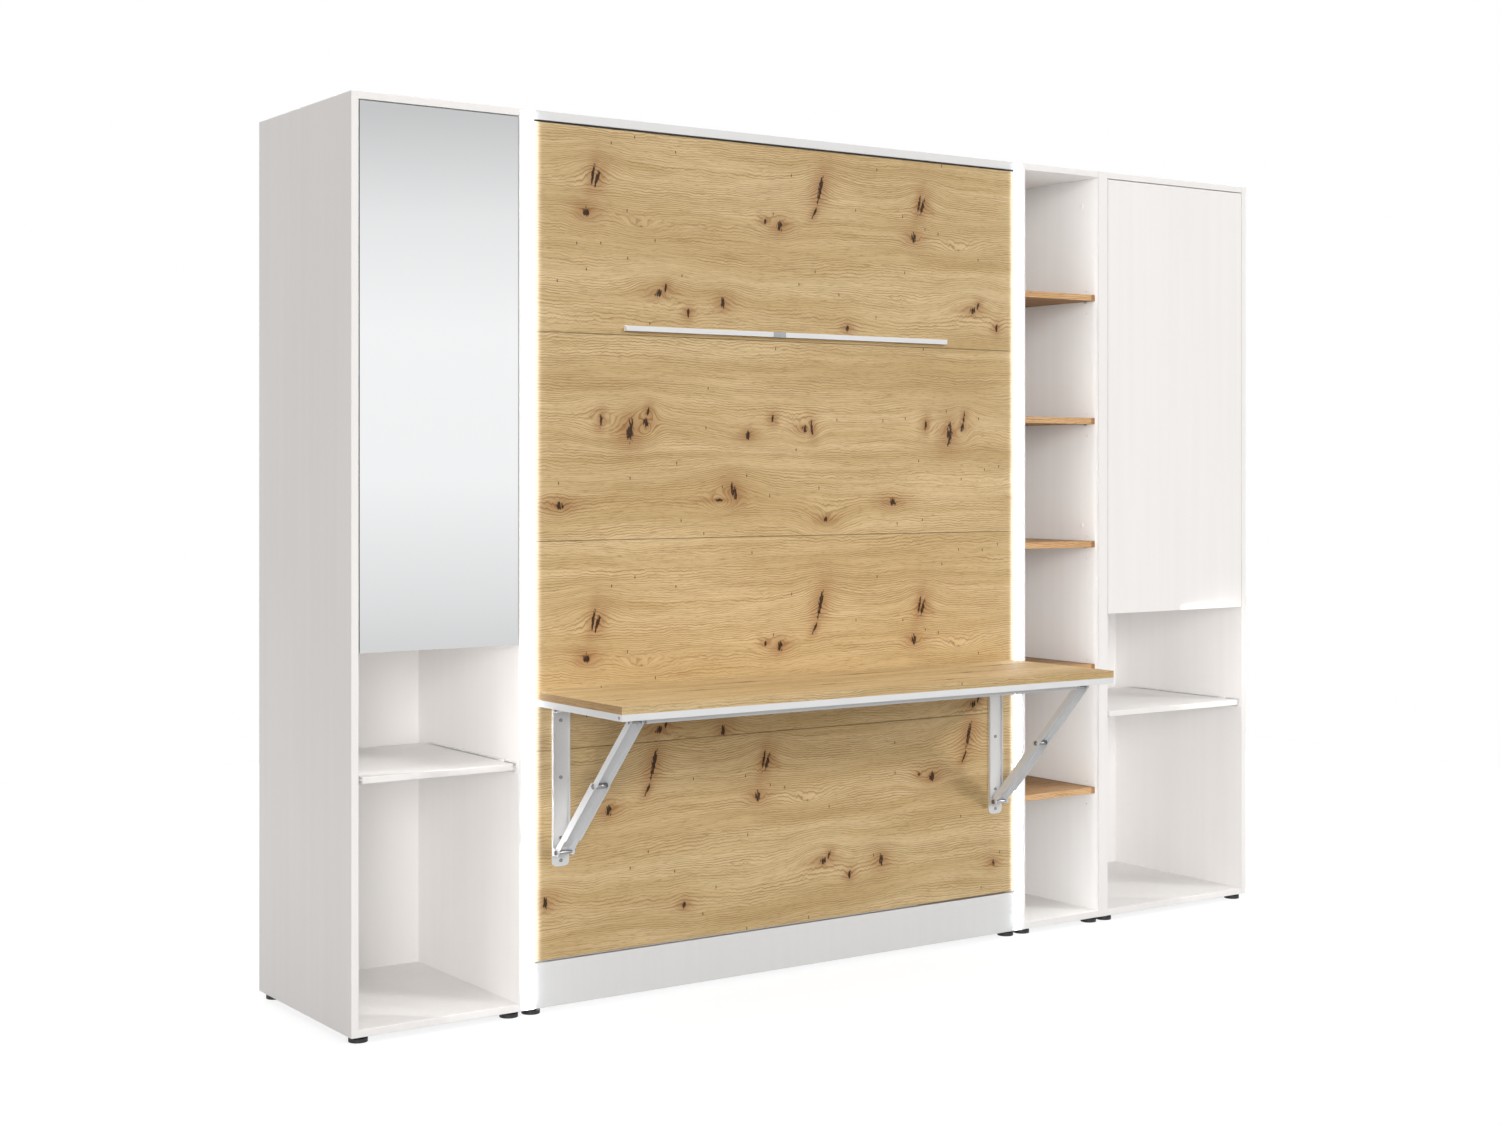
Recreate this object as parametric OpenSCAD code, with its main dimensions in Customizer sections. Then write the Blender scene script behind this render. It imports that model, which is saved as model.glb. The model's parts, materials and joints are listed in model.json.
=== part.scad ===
// Wall unit with an upright fold-down bed, a fold-down desk on its front and
// three cabinets beside it. Millimetres, +Z up, front towards -Y.
// The origin is on the floor, in the middle of the unit's width and depth.

/* [Whole unit] */
// How much higher the unit is than the mattress is long
head_room = 175; // [170:5:250]
// Depth from the front edges to the back
depth = 550; // [520:5:600]
// Thickness of the white cabinet boards
board = 18; // [16:1:19]
// Thickness of the back panels
back_t = 6; // [4:1:8]
// Height of the levelling feet
foot_h = 15; // [12:1:20]
// Diameter of the levelling feet
foot_d = 45; // [35:1:50]
// Distance of each foot's centre from the cabinet's sides, front and back
foot_inset = 30; // [27:1:40]

/* [Cabinets] */
// Width of the mirror wardrobe
wardrobe_w = 450; // [400:10:600]
// Width of the cupboard with the plain door
cupboard_w = 600; // [450:10:700]
// Width of the narrow open shelving
shelving_w = 320; // [280:10:450]
// Height of the doors' lower edge
door_z = 892; // [850:1:960]
// Gap round each door
door_gap = 2.5; // [2:0.5:3]
// Thickness of the mirror glass
mirror_t = 4; // [3:0.5:5]
// How far the doors reach below the board behind them, as a finger grip
grip_drop = 16; // [12:1:25]
// Height of the hanging rail's axis below the wardrobe's top
rail_drop = 90; // [70:5:140]
// Diameter of the hanging rail
rail_d = 25; // [20:1:30]
// Number of shelves inside the cupboard, behind the door
inner_shelf_n = 2; // [1:1:3]
// Thickness of the oak shelves
oak_t = 18; // [16:1:25]
// Number of oak shelves
oak_n = 5; // [4:1:6]
// How far the oak shelves stand back from the front edge
oak_setback = 15; // [5:1:30]

/* [Pull-out shelves] */
// Height of the pull-out shelves' upper face
pullout_z = 608; // [560:1:680]
// Thickness of the pull-out shelves
pullout_t = 16; // [15:1:18]
// How far the pull-out shelves stand back from the front edge
pullout_setback = 6; // [4:1:15]
// Depth of the pull-out shelves
pullout_d = 480; // [420:5:500]
// Room for a runner beside each pull-out shelf
runner_gap = 13; // [12.5:0.5:14]
// Height of the runners
runner_h = 25; // [22:1:30]

/* [Bed cabinet] */
// Distance from the mattress's side to the outside of the bed cabinet
side_room = 90; // [88:1:120]
// Thickness of its side boards and top board
bed_board = 22; // [20:1:25]
// Depth of the light profile let into each side board's front edge
led_d = 8; // [6:1:10]
// How far the light diffuser stands out
led_proud = 2.5; // [1:0.5:4]
// Height of the plinth's upper edge
plinth_top = 124; // [110:1:125]
// Height of the rails at the back
rear_rail_h = 100; // [80:5:140]
// Distance of the wall bolts from the outside of the bed cabinet
wall_bolt_inset = 140; // [100:10:300]
// Diameter of the holes for the wall bolts
wall_bolt_d = 9; // [8:0.5:11]

/* [Bed] */
// Thickness of the oak front
front_t = 18; // [16:1:18]
// Height of the front's lower edge
front_z = 129; // [129:1:135]
// Gap between the front and the cabinet's sides and top
front_gap = 3; // [3:0.5:6]
// Number of boards in the front
front_n = 4; // [3:1:5]
// Gap between the front's boards
front_joint = 0.8; // [0.4:0.2:1.5]
// Distance of the bed's pivot behind the front plane
pivot_y = 30; // [30:1:34]
// Height of the bed's pivot
pivot_z = 270; // [262:1:300]
// Diameter of the pivot studs
pivot_d = 14; // [12:1:16]
// Depth of the steel frame's tubes
frame_d = 40; // [30:1:42]
// Width of the steel frame's tubes
frame_t = 30; // [20:1:35]
// Wall of the steel frame's tubes
frame_wall = 2; // [1.5:0.5:3]
// Thickness of the slats
slat_t = 10; // [8:1:12]
// Width of a slat
slat_w = 60; // [50:1:70]
// Number of slats
slat_n = 14; // [10:1:18]
// Mattress width
mattress_w = 1400; // [1380:10:1420]
// Mattress length
mattress_l = 2000; // [1900:10:2000]
// Mattress thickness
mattress_t = 170; // [120:5:175]
// Width of the mattress straps
strap_w = 40; // [30:5:60]

/* [Handle] */
// Length of the handle profile
handle_l = 1028; // [800:4:1200]
// Height of the handle profile
handle_h = 13; // [12:1:20]
// How far the handle stands out
handle_d = 11; // [10:1:16]
// Height of the handle's middle
handle_z = 1660; // [1640:1:1690]
// Length of the grey clip in the handle
clip_l = 39; // [30:1:60]
// Distance of the clip from the handle's middle
clip_x = -50; // [-80:1:0]

/* [Foot leg] */
// Distance of the leg's pivot below the upper end of the bed frame
leg_drop = 101; // [91:1:121]
// Distance of the leg's pivot behind the front plane
leg_y = 45; // [44:1:48]
// Crank that carries the leg round the end of the bed
leg_crank = 130; // [128:1:136]
// Width of the leg's flat bars
leg_w = 24; // [20:1:24]
// Diameter of the leg's floor tube
leg_tube_d = 25; // [20:1:26]

/* [Gas springs] */
// Place of the upper pivot on the side boards, behind the front plane
gas_top_y = 355; // [340:1:370]
// Height of the upper pivot
gas_top_z = 833; // [810:1:850]
// Place of the lower pivot on the bed frame, behind the front plane
gas_low_y = 62; // [60:1:66]
// Height of the lower pivot
gas_low_z = 150; // [150:1:156]
// Diameter of the cylinder
gas_d = 22; // [18:1:22]
// Diameter of the rod
gas_rod_d = 10; // [8:1:10]
// Length of the cylinder
gas_tube_l = 400; // [380:5:410]

/* [Desk] */
// Height of the desk's working surface
desk_z = 777; // [740:1:790]
// Depth of the desk
desk_d = 396; // [390:2:440]
// Thickness of the desk's oak board
desk_t = 18; // [16:1:25]
// Height of the white frame under the board
rim_h = 16; // [14:1:20]
// Width of the frame's tubes
rim_w = 20; // [16:1:24]
// Wall of the frame's tubes
rim_wall = 1.5; // [1:0.5:2]
// Distance of the desk hinge in front of the bed's front
hinge_y = 22; // [22:1:24]
// Distance of the hinge below the frame
hinge_drop = 9; // [9:0.5:10]
// Distance from the hinge down to the strut's lower pivot
strut_low = 345; // [335:1:360]
// Distance from the hinge out to the strut's upper pivot
strut_out = 325; // [315:1:330]
// Outer width of the lower strut
strut_w = 42; // [40:1:46]
// Sheet thickness of the struts and wall strips
sheet = 2; // [1.5:0.5:2]
// Distance from the front's end to the middle of each bracket
bracket_inset = 70; // [68:1:90]
// Diameter of the bracket pins
pin_d = 8; // [6:1:8]

/* [Hidden] */
$fn = 48;

// Clearances
fit = 0.05;        // radial clearance of a pin or bolt in its hole
slack = 0.5;       // clearance between sheet parts that slide past each other
rim_gap = 2;       // desk's rear edge to the bed's front
soft_gap = 0.3;    // soft parts to their neighbours

// Whole unit
total_h = mattress_l + head_room;
bed_w = mattress_w + 2 * side_room;
total_w = wardrobe_w + bed_w + shelving_w + cupboard_w;
wardrobe_x = -total_w / 2;
bed_x = wardrobe_x + wardrobe_w;
shelving_x = bed_x + bed_w;
cupboard_x = shelving_x + shelving_w;
desk_front = rim_gap + desk_d;
front_plane = -(depth - desk_front) / 2;

// Doors
mid_z = door_z + grip_drop;
door_h = total_h - board - door_gap - door_z;
hinge_end = 110;
hinge_zs = [door_z + hinge_end, door_z + door_h / 2, door_z + door_h - hinge_end];
cup_d = 35;
cup_depth = 11;
cup_inset = 24;
cup_flange = 1.5;

// Runners
runner_l = pullout_d - 20;
runner_sheet = 1.5;
roller_d = 12;
runner_low = pullout_z - runner_h + 3;

// Bed cabinet
bed_mid = bed_x + bed_w / 2;
bed_in = bed_w / 2 - bed_board;
front_half = bed_in - front_gap;
front_top = total_h - bed_board - front_gap - 2;
front_h = front_top - front_z;
plate_t = front_gap - slack;
boss_d = pivot_d + 8;
rear_rail_rise = 25;
wall_bolt_dx = bed_w - 2 * wall_bolt_inset;
wall_bolt_z = [foot_h + rear_rail_rise + rear_rail_h / 2,
               total_h - bed_board - rear_rail_h / 2];

// Bed
frame_half = mattress_w / 2 + 20;
frame_low = front_z + 6;
frame_high = front_top - 7;
frame_back = front_t + frame_d;
slat_back = frame_back + slat_t;
mattress_low = front_z + 4;
mattress_front = slat_back + soft_gap;
mattress_crown = 6;
strap_t = 2;
cross_n = 3;
cross_zs = [for (i = [1:cross_n])
  frame_low + (frame_high - frame_low) * i / (cross_n + 1)];
rail_zs = concat([frame_low, frame_high - frame_t], cross_zs);
slat_pitch = (frame_high - frame_low - slat_w) / (slat_n - 1);
strap_zs = [for (gap = [3, slat_n - 5])
  frame_low + gap * slat_pitch + (slat_pitch + slat_w - strap_w) / 2];

// Foot leg: reach leaves the floor tube's sleeves just above the floor
leg_z = frame_high - leg_drop;
sleeve_d = leg_tube_d + 4;
leg_reach = pivot_z + leg_y - pivot_y - sleeve_d / 2 - slack;
leg_t = 5;
leg_x = frame_half + 4;
leg_stud_d = 12;

// Gas springs
gas_dy = gas_low_y - gas_top_y;
gas_dz = gas_low_z - gas_top_z;
gas_l = norm([gas_dy, gas_dz]);
gas_tilt = atan2(-gas_dy, gas_dz);
gas_x = frame_half + 21;
gas_stud_d = 8;
gas_eye_d = 20;
gas_eye_w = 10;
gas_lug_t = 4;
gas_rod_l = 500;

// Desk and its brackets; the folded struts close flat when
// lower - upper length = strut_low - strut_out
desk_half = front_half - 2;
desk_bottom = desk_z - desk_t - rim_h;
hinge_z = desk_bottom - hinge_drop;
lug_y = -hinge_y - strut_out;
strut_span = norm([strut_low, strut_out]);
lower_l = (strut_span + strut_low - strut_out) / 2;
upper_l = (strut_span - strut_low + strut_out) / 2;
strut_tilt = atan2(strut_out, strut_low);
bracket_x = front_half - bracket_inset;
upper_w = strut_w - 2 * sheet - 2 * slack;
ear_w = upper_w - 2 * sheet - 2 * slack;
strip_w = strut_w + 2 * sheet + 2 * slack;
strut_r = 8;
web_start = 24;
web_cut = 87;
knee_bush_d = 12;
strip_tail = 37;
strip_bottom = hinge_z - strut_low - strip_tail;
strip_flange = 8;
screw_rises = [14, 69, 215];
screw_drop = 29;
screw_zs = concat([for (rise = screw_rises) strip_bottom + rise], [hinge_z - screw_drop]);
screw_d = 4;

// Connector bolts through neighbouring sides
bolt_d = 6;
bolt_head_d = 13;
bolt_head_t = 2;
bolt_edge = 70;
bolt_ys = [bolt_edge, depth - bolt_edge];
bolt_drop = 95;
bolt_rise = 60;
bolt_zs = [total_h - bolt_drop, total_h / 2 + bolt_rise];

// Shelf pins of the oak shelves and of the cupboard's shelves
peg_d = 5;
peg_depth = 9;
peg_out = 9;
peg_pitch = 32;
oak_clear = total_h - foot_h - 2 * board - oak_n * oak_t;
oak_zs = [for (i = [1:oak_n])
  foot_h + board + oak_clear * i / (oak_n + 1) + oak_t * (i - 1)];
oak_back = depth - back_t - 2;
peg_ys = [oak_setback + 35, oak_back - 50];
inner_clear = total_h - board - mid_z - board - inner_shelf_n * board;
inner_zs = [for (i = [1:inner_shelf_n])
  mid_z + board + inner_clear * i / (inner_shelf_n + 1) + board * (i - 1)];
inner_front = 45;

white = [0.93, 0.92, 0.91];
oak = [0.80, 0.65, 0.42];
warm_oak = [0.78, 0.55, 0.33];
steel = [0.72, 0.73, 0.75];
paint = [0.88, 0.89, 0.90];
black = [0.08, 0.08, 0.08];

// ---------------------------------------------------------------- helpers

// Puts a piece into the unit's frame: y = 0 is the cabinets' front plane
module place() {
  translate([0, front_plane, 0]) children();
}

// A plain board from its low corner and its size
module slab(low, size) {
  translate(low) cube(size);
}

// A round bar or bore along X
module x_rod(x, y, z, length, d) {
  translate([x, y, z]) rotate([0, 90, 0]) cylinder(h = length, d = d);
}

// A round bar or bore along Y
module y_rod(x, y, z, length, d) {
  translate([x, y, z]) rotate([-90, 0, 0]) cylinder(h = length, d = d);
}

// A sheet cut to a 2D outline in the Y-Z plane, with its low face at x
module sheet_yz(x, t) {
  translate([x, 0, 0]) rotate([90, 0, 90]) linear_extrude(t) children();
}

// Its children at both brackets, or on both sides of the bed
module both_sides(x) {
  for (s = [-1, 1]) translate([bed_mid + s * x, 0, 0]) children();
}

// A side wall of a cabinet, with the bores for connector bolts
module side_wall(x, t, y, bolted) {
  place() difference() {
    slab([x, y, foot_h], [t, depth - y, total_h - foot_h]);
    if (bolted)
      for (by = bolt_ys, bz = bolt_zs)
        x_rod(x - 1, by, bz, t + 2, bolt_d + 2 * fit);
  }
}

// A board that lies between a cabinet's sides
module flat_board(x, w, y, d, z, t = board) {
  place() slab([x + board, y, z], [w - 2 * board, d, t]);
}

module back_panel(x, w) {
  place() slab([x + board, depth - back_t, foot_h + board],
               [w - 2 * board, back_t, total_h - foot_h - 2 * board]);
}

// Bores for pegs on one inner face of a cabinet side; dir points into the board
module peg_bores(x, dir, ys, zs) {
  for (y = ys, z = zs)
    x_rod(dir > 0 ? x - 0.01 : x - peg_depth, y, z, peg_depth + 0.01, peg_d + 2 * fit);
}

// Height of the pegs that carry a shelf of height z, with spare rows round it
function peg_rows(z) = [for (i = [-1:1]) z - peg_d / 2 + i * peg_pitch];

// ---------------------------------------------------------------- cabinets

module wardrobe_left_side() color(white) side_wall(wardrobe_x, board, 0, false);

module wardrobe_right_side() color(white) side_wall(bed_x - board, board, 0, true);

module wardrobe_top() color(white)
  flat_board(wardrobe_x, wardrobe_w, 0, depth, total_h - board);

module wardrobe_bottom() color(white)
  flat_board(wardrobe_x, wardrobe_w, 0, depth, foot_h);

module wardrobe_mid_shelf() color(white)
  flat_board(wardrobe_x, wardrobe_w, board + mirror_t + 3,
             depth - back_t - board - mirror_t - 3, mid_z);

module wardrobe_back() color(white) back_panel(wardrobe_x, wardrobe_w);

// Tube rail between two round sockets
module hanging_rail() color(steel) place() {
  z = total_h - board - rail_drop;
  y = depth / 2;
  inner = wardrobe_w - 2 * board;
  x = wardrobe_x + board;
  difference() {
    x_rod(x + 4, y, z, inner - 8, rail_d);
    x_rod(x + 3, y, z, inner - 6, rail_d - 3);
  }
  for (sx = [x, x + inner - 12]) difference() {
    x_rod(sx, y, z, 12, rail_d + 10);
    x_rod(sx == x ? sx + 4 : sx - 1, y, z, 9, rail_d + 2 * fit);
  }
}

module shelving_left_side() color(white) difference() {
  side_wall(shelving_x, board, 0, true);
  place() for (z = oak_zs)
    peg_bores(shelving_x + board, -1, peg_ys, peg_rows(z));
}

module shelving_right_side() color(white) difference() {
  side_wall(cupboard_x - board, board, 0, true);
  place() for (z = oak_zs)
    peg_bores(cupboard_x - board, 1, peg_ys, peg_rows(z));
}

module shelving_top() color(white)
  flat_board(shelving_x, shelving_w, 0, depth, total_h - board);

module shelving_bottom() color(white)
  flat_board(shelving_x, shelving_w, 0, depth, foot_h);

module shelving_back() color(white) back_panel(shelving_x, shelving_w);

module oak_shelves() color(warm_oak)
  for (z = oak_zs)
    flat_board(shelving_x + fit, shelving_w - 2 * fit, oak_setback,
               oak_back - oak_setback, z, oak_t);

// Steel pegs in the sides, under the oak shelves and the cupboard's shelves
module shelf_pins() color(steel) place() {
  for (z = oak_zs) peg_row(shelving_x + board, cupboard_x - board, peg_ys, z);
  for (z = inner_zs)
    peg_row(cupboard_x + board, cupboard_x + cupboard_w - board, inner_peg_ys(), z);
}

function inner_peg_ys() = [inner_front + 40, depth - back_t - 60];

module peg_row(left, right, ys, z) {
  for (y = ys, x = [left - peg_depth, right - peg_out])
    x_rod(x, y, z - peg_d / 2, peg_depth + peg_out, peg_d);
}

module cupboard_left_side() color(white) difference() {
  side_wall(cupboard_x, board, 0, true);
  place() for (z = inner_zs)
    peg_bores(cupboard_x + board, -1, inner_peg_ys(), peg_rows(z));
}

module cupboard_right_side() color(white) difference() {
  side_wall(cupboard_x + cupboard_w - board, board, 0, false);
  place() for (z = inner_zs)
    peg_bores(cupboard_x + cupboard_w - board, 1, inner_peg_ys(), peg_rows(z));
}

module cupboard_top() color(white)
  flat_board(cupboard_x, cupboard_w, 0, depth, total_h - board);

module cupboard_bottom() color(white)
  flat_board(cupboard_x, cupboard_w, 0, depth, foot_h);

module cupboard_mid_shelf() color(white)
  flat_board(cupboard_x, cupboard_w, board + 3, depth - back_t - board - 3, mid_z);

module cupboard_inner_shelves() color(white)
  for (z = inner_zs)
    flat_board(cupboard_x + fit, cupboard_w - 2 * fit, inner_front,
               depth - back_t - 2 - inner_front, z);

module cupboard_back() color(white) back_panel(cupboard_x, cupboard_w);

// ---------------------------------------------------------------- doors

// An inset door with the bores for its hinge cups; dir is 1 when it is
// hinged on its left edge, and -1 on its right
module door_board(x, w, y, dir) {
  hinge_edge = dir > 0 ? x + board + door_gap : x + w - board - door_gap;
  place() difference() {
    slab([x + board + door_gap, y, door_z], [w - 2 * board - 2 * door_gap, board, door_h]);
    for (z = hinge_zs)
      y_rod(hinge_edge + dir * cup_inset, y + board - cup_depth - fit, z,
            cup_depth + 1, cup_d + 2 * fit);
  }
}

module hinge_cups(x, w, y, dir) {
  hinge_edge = dir > 0 ? x + board + door_gap : x + w - board - door_gap;
  cx = hinge_edge + dir * cup_inset;
  place() for (z = hinge_zs) difference() {
    union() {
      y_rod(cx, y + board - cup_depth, z, cup_depth, cup_d);
      slab([cx - cup_d / 2 + 5, y + board, z - 26], [cup_d - 10, cup_flange, 52]);
    }
    y_rod(cx, y + board - cup_depth + 1.5, z, cup_depth + 2, cup_d - 8);
  }
}

module wardrobe_door() color(white) door_board(wardrobe_x, wardrobe_w, mirror_t, 1);

module wardrobe_mirror() color([0.75, 0.78, 0.82]) place()
  slab([wardrobe_x + board + door_gap, 0, door_z],
       [wardrobe_w - 2 * board - 2 * door_gap, mirror_t, door_h]);

module wardrobe_hinge_cups() color(steel)
  hinge_cups(wardrobe_x, wardrobe_w, mirror_t, 1);

module cupboard_door() color(white) door_board(cupboard_x, cupboard_w, 0, -1);

module cupboard_hinge_cups() color(steel) hinge_cups(cupboard_x, cupboard_w, 0, -1);

// Hinge arms and their plates on the cabinets' sides; each arm's nose reaches
// over its cup, and y is the back of the door
module hinge_arm(x, y, dir) {
  plate = [3, 30, 52];
  arm = [10, 72, 16];
  nose_t = 8;
  arm_y = y + cup_flange + soft_gap;
  for (z = hinge_zs) translate([x, 0, z]) mirror([dir > 0 ? 0 : 1, 0, 0]) {
    slab([0, arm_y + arm[1] / 3, -plate[2] / 2], plate);
    slab([plate[0], arm_y, -arm[2] / 2], arm);
    slab([plate[0], arm_y, -arm[2] / 2],
         [door_gap + cup_inset - plate[0], nose_t, arm[2]]);
  }
}

module door_hinge_arms() color(steel) place() {
  hinge_arm(wardrobe_x + board, mirror_t + board, 1);
  hinge_arm(cupboard_x + cupboard_w - board, board, -1);
}

// ---------------------------------------------------------------- pull-outs

module pullout_board(x, w) {
  place() slab([x + board + runner_gap, pullout_setback, pullout_z - pullout_t],
               [w - 2 * board - 2 * runner_gap, pullout_d, pullout_t]);
}

module wardrobe_pullout_shelf() color(white) pullout_board(wardrobe_x, wardrobe_w);

module cupboard_pullout_shelf() color(white) pullout_board(cupboard_x, cupboard_w);

// Fixed half of a runner: a channel on the cabinet's side with a front roller
module fixed_runner() {
  y = pullout_setback + 4;
  lip = 9;
  slab([0, y, runner_low], [runner_sheet, runner_l, runner_h]);
  slab([0, y, runner_low], [lip, runner_l, runner_sheet]);
  slab([0, y, runner_low + runner_h - runner_sheet], [lip, runner_l, runner_sheet]);
  x_rod(runner_sheet, y + 14, runner_low + runner_sheet + roller_d / 2, 6, roller_d);
}

// Moving half: an angle on the shelf's edge with a rear roller
module moving_runner() {
  y = pullout_setback + 2;
  track_z = runner_low + runner_sheet + roller_d + soft_gap;
  web_x = runner_gap - runner_sheet;
  slab([web_x, y, pullout_z - pullout_t], [runner_sheet, runner_l, pullout_t]);
  slab([runner_sheet + slack, y, track_z],
       [web_x - runner_sheet - slack, runner_l, runner_sheet]);
  x_rod(runner_sheet + slack, y + runner_l - 20,
        runner_low + runner_sheet + soft_gap / 2 + roller_d / 2, 6, roller_d);
}

// Its children on the left side of a cabinet, and mirrored on its right side
module left_and_right(x, w) {
  translate([x + board, 0, 0]) children();
  translate([x + w - board, 0, 0]) mirror([1, 0, 0]) children();
}

module runner_rails() color(paint) place() {
  left_and_right(wardrobe_x, wardrobe_w) fixed_runner();
  left_and_right(cupboard_x, cupboard_w) fixed_runner();
}

module wardrobe_runner_slides() color(paint) place()
  left_and_right(wardrobe_x, wardrobe_w) moving_runner();

module cupboard_runner_slides() color(paint) place()
  left_and_right(cupboard_x, cupboard_w) moving_runner();

// ---------------------------------------------------------------- feet and bolts

module foot() {
  pad = foot_h * 0.6;
  cylinder(h = pad, d = foot_d);
  translate([0, 0, pad]) cylinder(h = foot_h - pad, d = foot_d - 14);
}

module feet_under(x, w) {
  for (fx = [x + foot_inset, x + w - foot_inset], fy = [foot_inset, depth - foot_inset])
    translate([fx, fy, 0]) foot();
}

module levelling_feet() color(black) place() {
  feet_under(wardrobe_x, wardrobe_w);
  feet_under(bed_x, bed_w);
  feet_under(shelving_x, shelving_w);
  feet_under(cupboard_x, cupboard_w);
}

// A flat-headed connector through two neighbouring sides
module connector(x, left_t, right_t) {
  for (y = bolt_ys, z = bolt_zs) {
    x_rod(x - left_t, y, z, left_t + right_t, bolt_d);
    x_rod(x - left_t - bolt_head_t, y, z, bolt_head_t, bolt_head_d);
    x_rod(x + right_t, y, z, bolt_head_t, bolt_head_d);
  }
}

module connector_bolts() color(steel) place() {
  connector(bed_x, board, bed_board);
  connector(shelving_x, bed_board, board);
  connector(cupboard_x, board, board);
}

// ---------------------------------------------------------------- bed cabinet

module bed_left_side() color(white) side_wall(bed_x, bed_board, led_d, true);

module bed_right_side() color(white)
  side_wall(shelving_x - bed_board, bed_board, led_d, true);

module bed_top_board() color(white) place()
  slab([bed_mid - bed_in, 0, total_h - bed_board], [2 * bed_in, depth, bed_board]);

module bed_plinth() color(white) place()
  slab([bed_mid - bed_in, 0, foot_h], [2 * bed_in, board, plinth_top - foot_h]);

// Cross rails at the back, drilled for the wall bolts
module bed_rear_rails() color(white) place() {
  for (z = wall_bolt_z) difference() {
    slab([bed_mid - bed_in, depth - board, z - rear_rail_h / 2],
         [2 * bed_in, board, rear_rail_h]);
    for (s = [-1, 1])
      y_rod(bed_mid + s * wall_bolt_dx / 2, depth - board - 1, z, board + 2, wall_bolt_d);
  }
}

// Pivot plates with the bed's bearings, and plates with the gas springs' studs
module bed_pivot_plates() color(steel) place() {
  plate_y = 74;
  plate_z = 150;
  boss_l = bed_in - plate_t - frame_half - 25;
  for (s = [-1, 1]) translate([bed_mid, 0, 0]) mirror([s < 0 ? 1 : 0, 0, 0]) {
    difference() {
      union() {
        slab([bed_in - plate_t, pivot_y - boss_d / 2, pivot_z - plate_z / 2],
             [plate_t, plate_y, plate_z]);
        x_rod(bed_in - plate_t - boss_l, pivot_y, pivot_z, boss_l, boss_d);
      }
      x_rod(frame_half, pivot_y, pivot_z, bed_in - frame_half - 1, pivot_d + 2 * fit);
    }
    slab([bed_in - 3, gas_top_y - 30, gas_top_z - 40], [3, 60, 80]);
    x_rod(gas_x - gas_eye_w / 2, gas_top_y, gas_top_z,
          bed_in - 3 - gas_x + gas_eye_w / 2, gas_stud_d);
  }
}

// Aluminium channel let into each side board's front edge
module led_profiles() color(steel) place() {
  wall = 1.5;
  for (x = [bed_x, shelving_x - bed_board]) difference() {
    slab([x, 0, foot_h], [bed_board, led_d, total_h - foot_h]);
    slab([x + wall, -1, foot_h - 1], [bed_board - 2 * wall, led_d, total_h - foot_h + 2]);
  }
}

// Opal light strip that fills the channel and stands a little proud
module led_diffusers() color([1, 1, 1]) place() {
  wall = 1.5;
  for (x = [bed_x, shelving_x - bed_board])
    slab([x + wall, -led_proud, foot_h + 1],
         [bed_board - 2 * wall, led_d - 1 + led_proud, total_h - foot_h - 2]);
}

// ---------------------------------------------------------------- bed

module front_boards() color(oak) place() {
  h = (front_h - (front_n - 1) * front_joint) / front_n;
  difference() {
    for (i = [0:front_n - 1])
      slab([bed_mid - front_half, 0, front_z + i * (h + front_joint)],
           [2 * front_half, front_t, h]);
    both_sides(bracket_x)
      for (z = screw_zs) y_rod(0, -1, z, front_t - 1, screw_d + 2 * fit);
  }
}

// Welded tube frame with its pivot studs, leg studs and gas spring lugs
module bed_frame() color(steel) place() {
  difference() {
    union() {
      frame_tubes(0);
      for (s = [-1, 1]) translate([bed_mid, 0, 0]) mirror([s < 0 ? 1 : 0, 0, 0])
        frame_studs();
    }
    frame_tubes(frame_wall);
  }
}

// The frame's outer form, or with a wall the hollow inside its tubes
module frame_tubes(wall) {
  open = wall > 0 ? 1 : 0;
  for (x = [bed_mid - frame_half, bed_mid + frame_half - frame_t])
    slab([x + wall, front_t + wall, frame_low - open],
         [frame_t - 2 * wall, frame_d - 2 * wall, frame_high - frame_low + 2 * open]);
  for (z = rail_zs)
    slab([bed_mid - frame_half + wall, front_t + wall, z + wall],
         [2 * (frame_half - wall), frame_d - 2 * wall, frame_t - 2 * wall]);
}

module frame_studs() {
  x_rod(frame_half, pivot_y, pivot_z, bed_in - frame_half - plate_t - 1, pivot_d);
  x_rod(frame_half, leg_y, leg_z, leg_x - frame_half + leg_t + 2, leg_stud_d);
  slab([frame_half, gas_low_y - 22, gas_low_z - 13], [gas_lug_t, 34, 26]);
  x_rod(frame_half, gas_low_y, gas_low_z,
        gas_x - gas_eye_w / 2 - slack - frame_half, gas_stud_d);
}

module bed_slats() color([0.85, 0.76, 0.58]) place() {
  for (i = [0:slat_n - 1])
    slab([bed_mid - frame_half + 8, frame_back, frame_low + i * slat_pitch],
         [2 * frame_half - 16, slat_t, slat_w]);
}

// Mattress outline: a rounded rectangle, corner by corner
mattress_r = 60;
mattress_edge = 14;
corner_n = 8;
mattress_outline = [for (c = [0:3], j = [0:corner_n - 1])
  let (a = 90 * c + 90 * j / (corner_n - 1),
       sx = (c == 0 || c == 3) ? 1 : -1,
       sz = c < 2 ? 1 : -1)
  [sx * (mattress_w / 2 - mattress_r) + mattress_r * cos(a),
   sz * (mattress_l / 2 - mattress_r) + mattress_r * sin(a)]];
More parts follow.
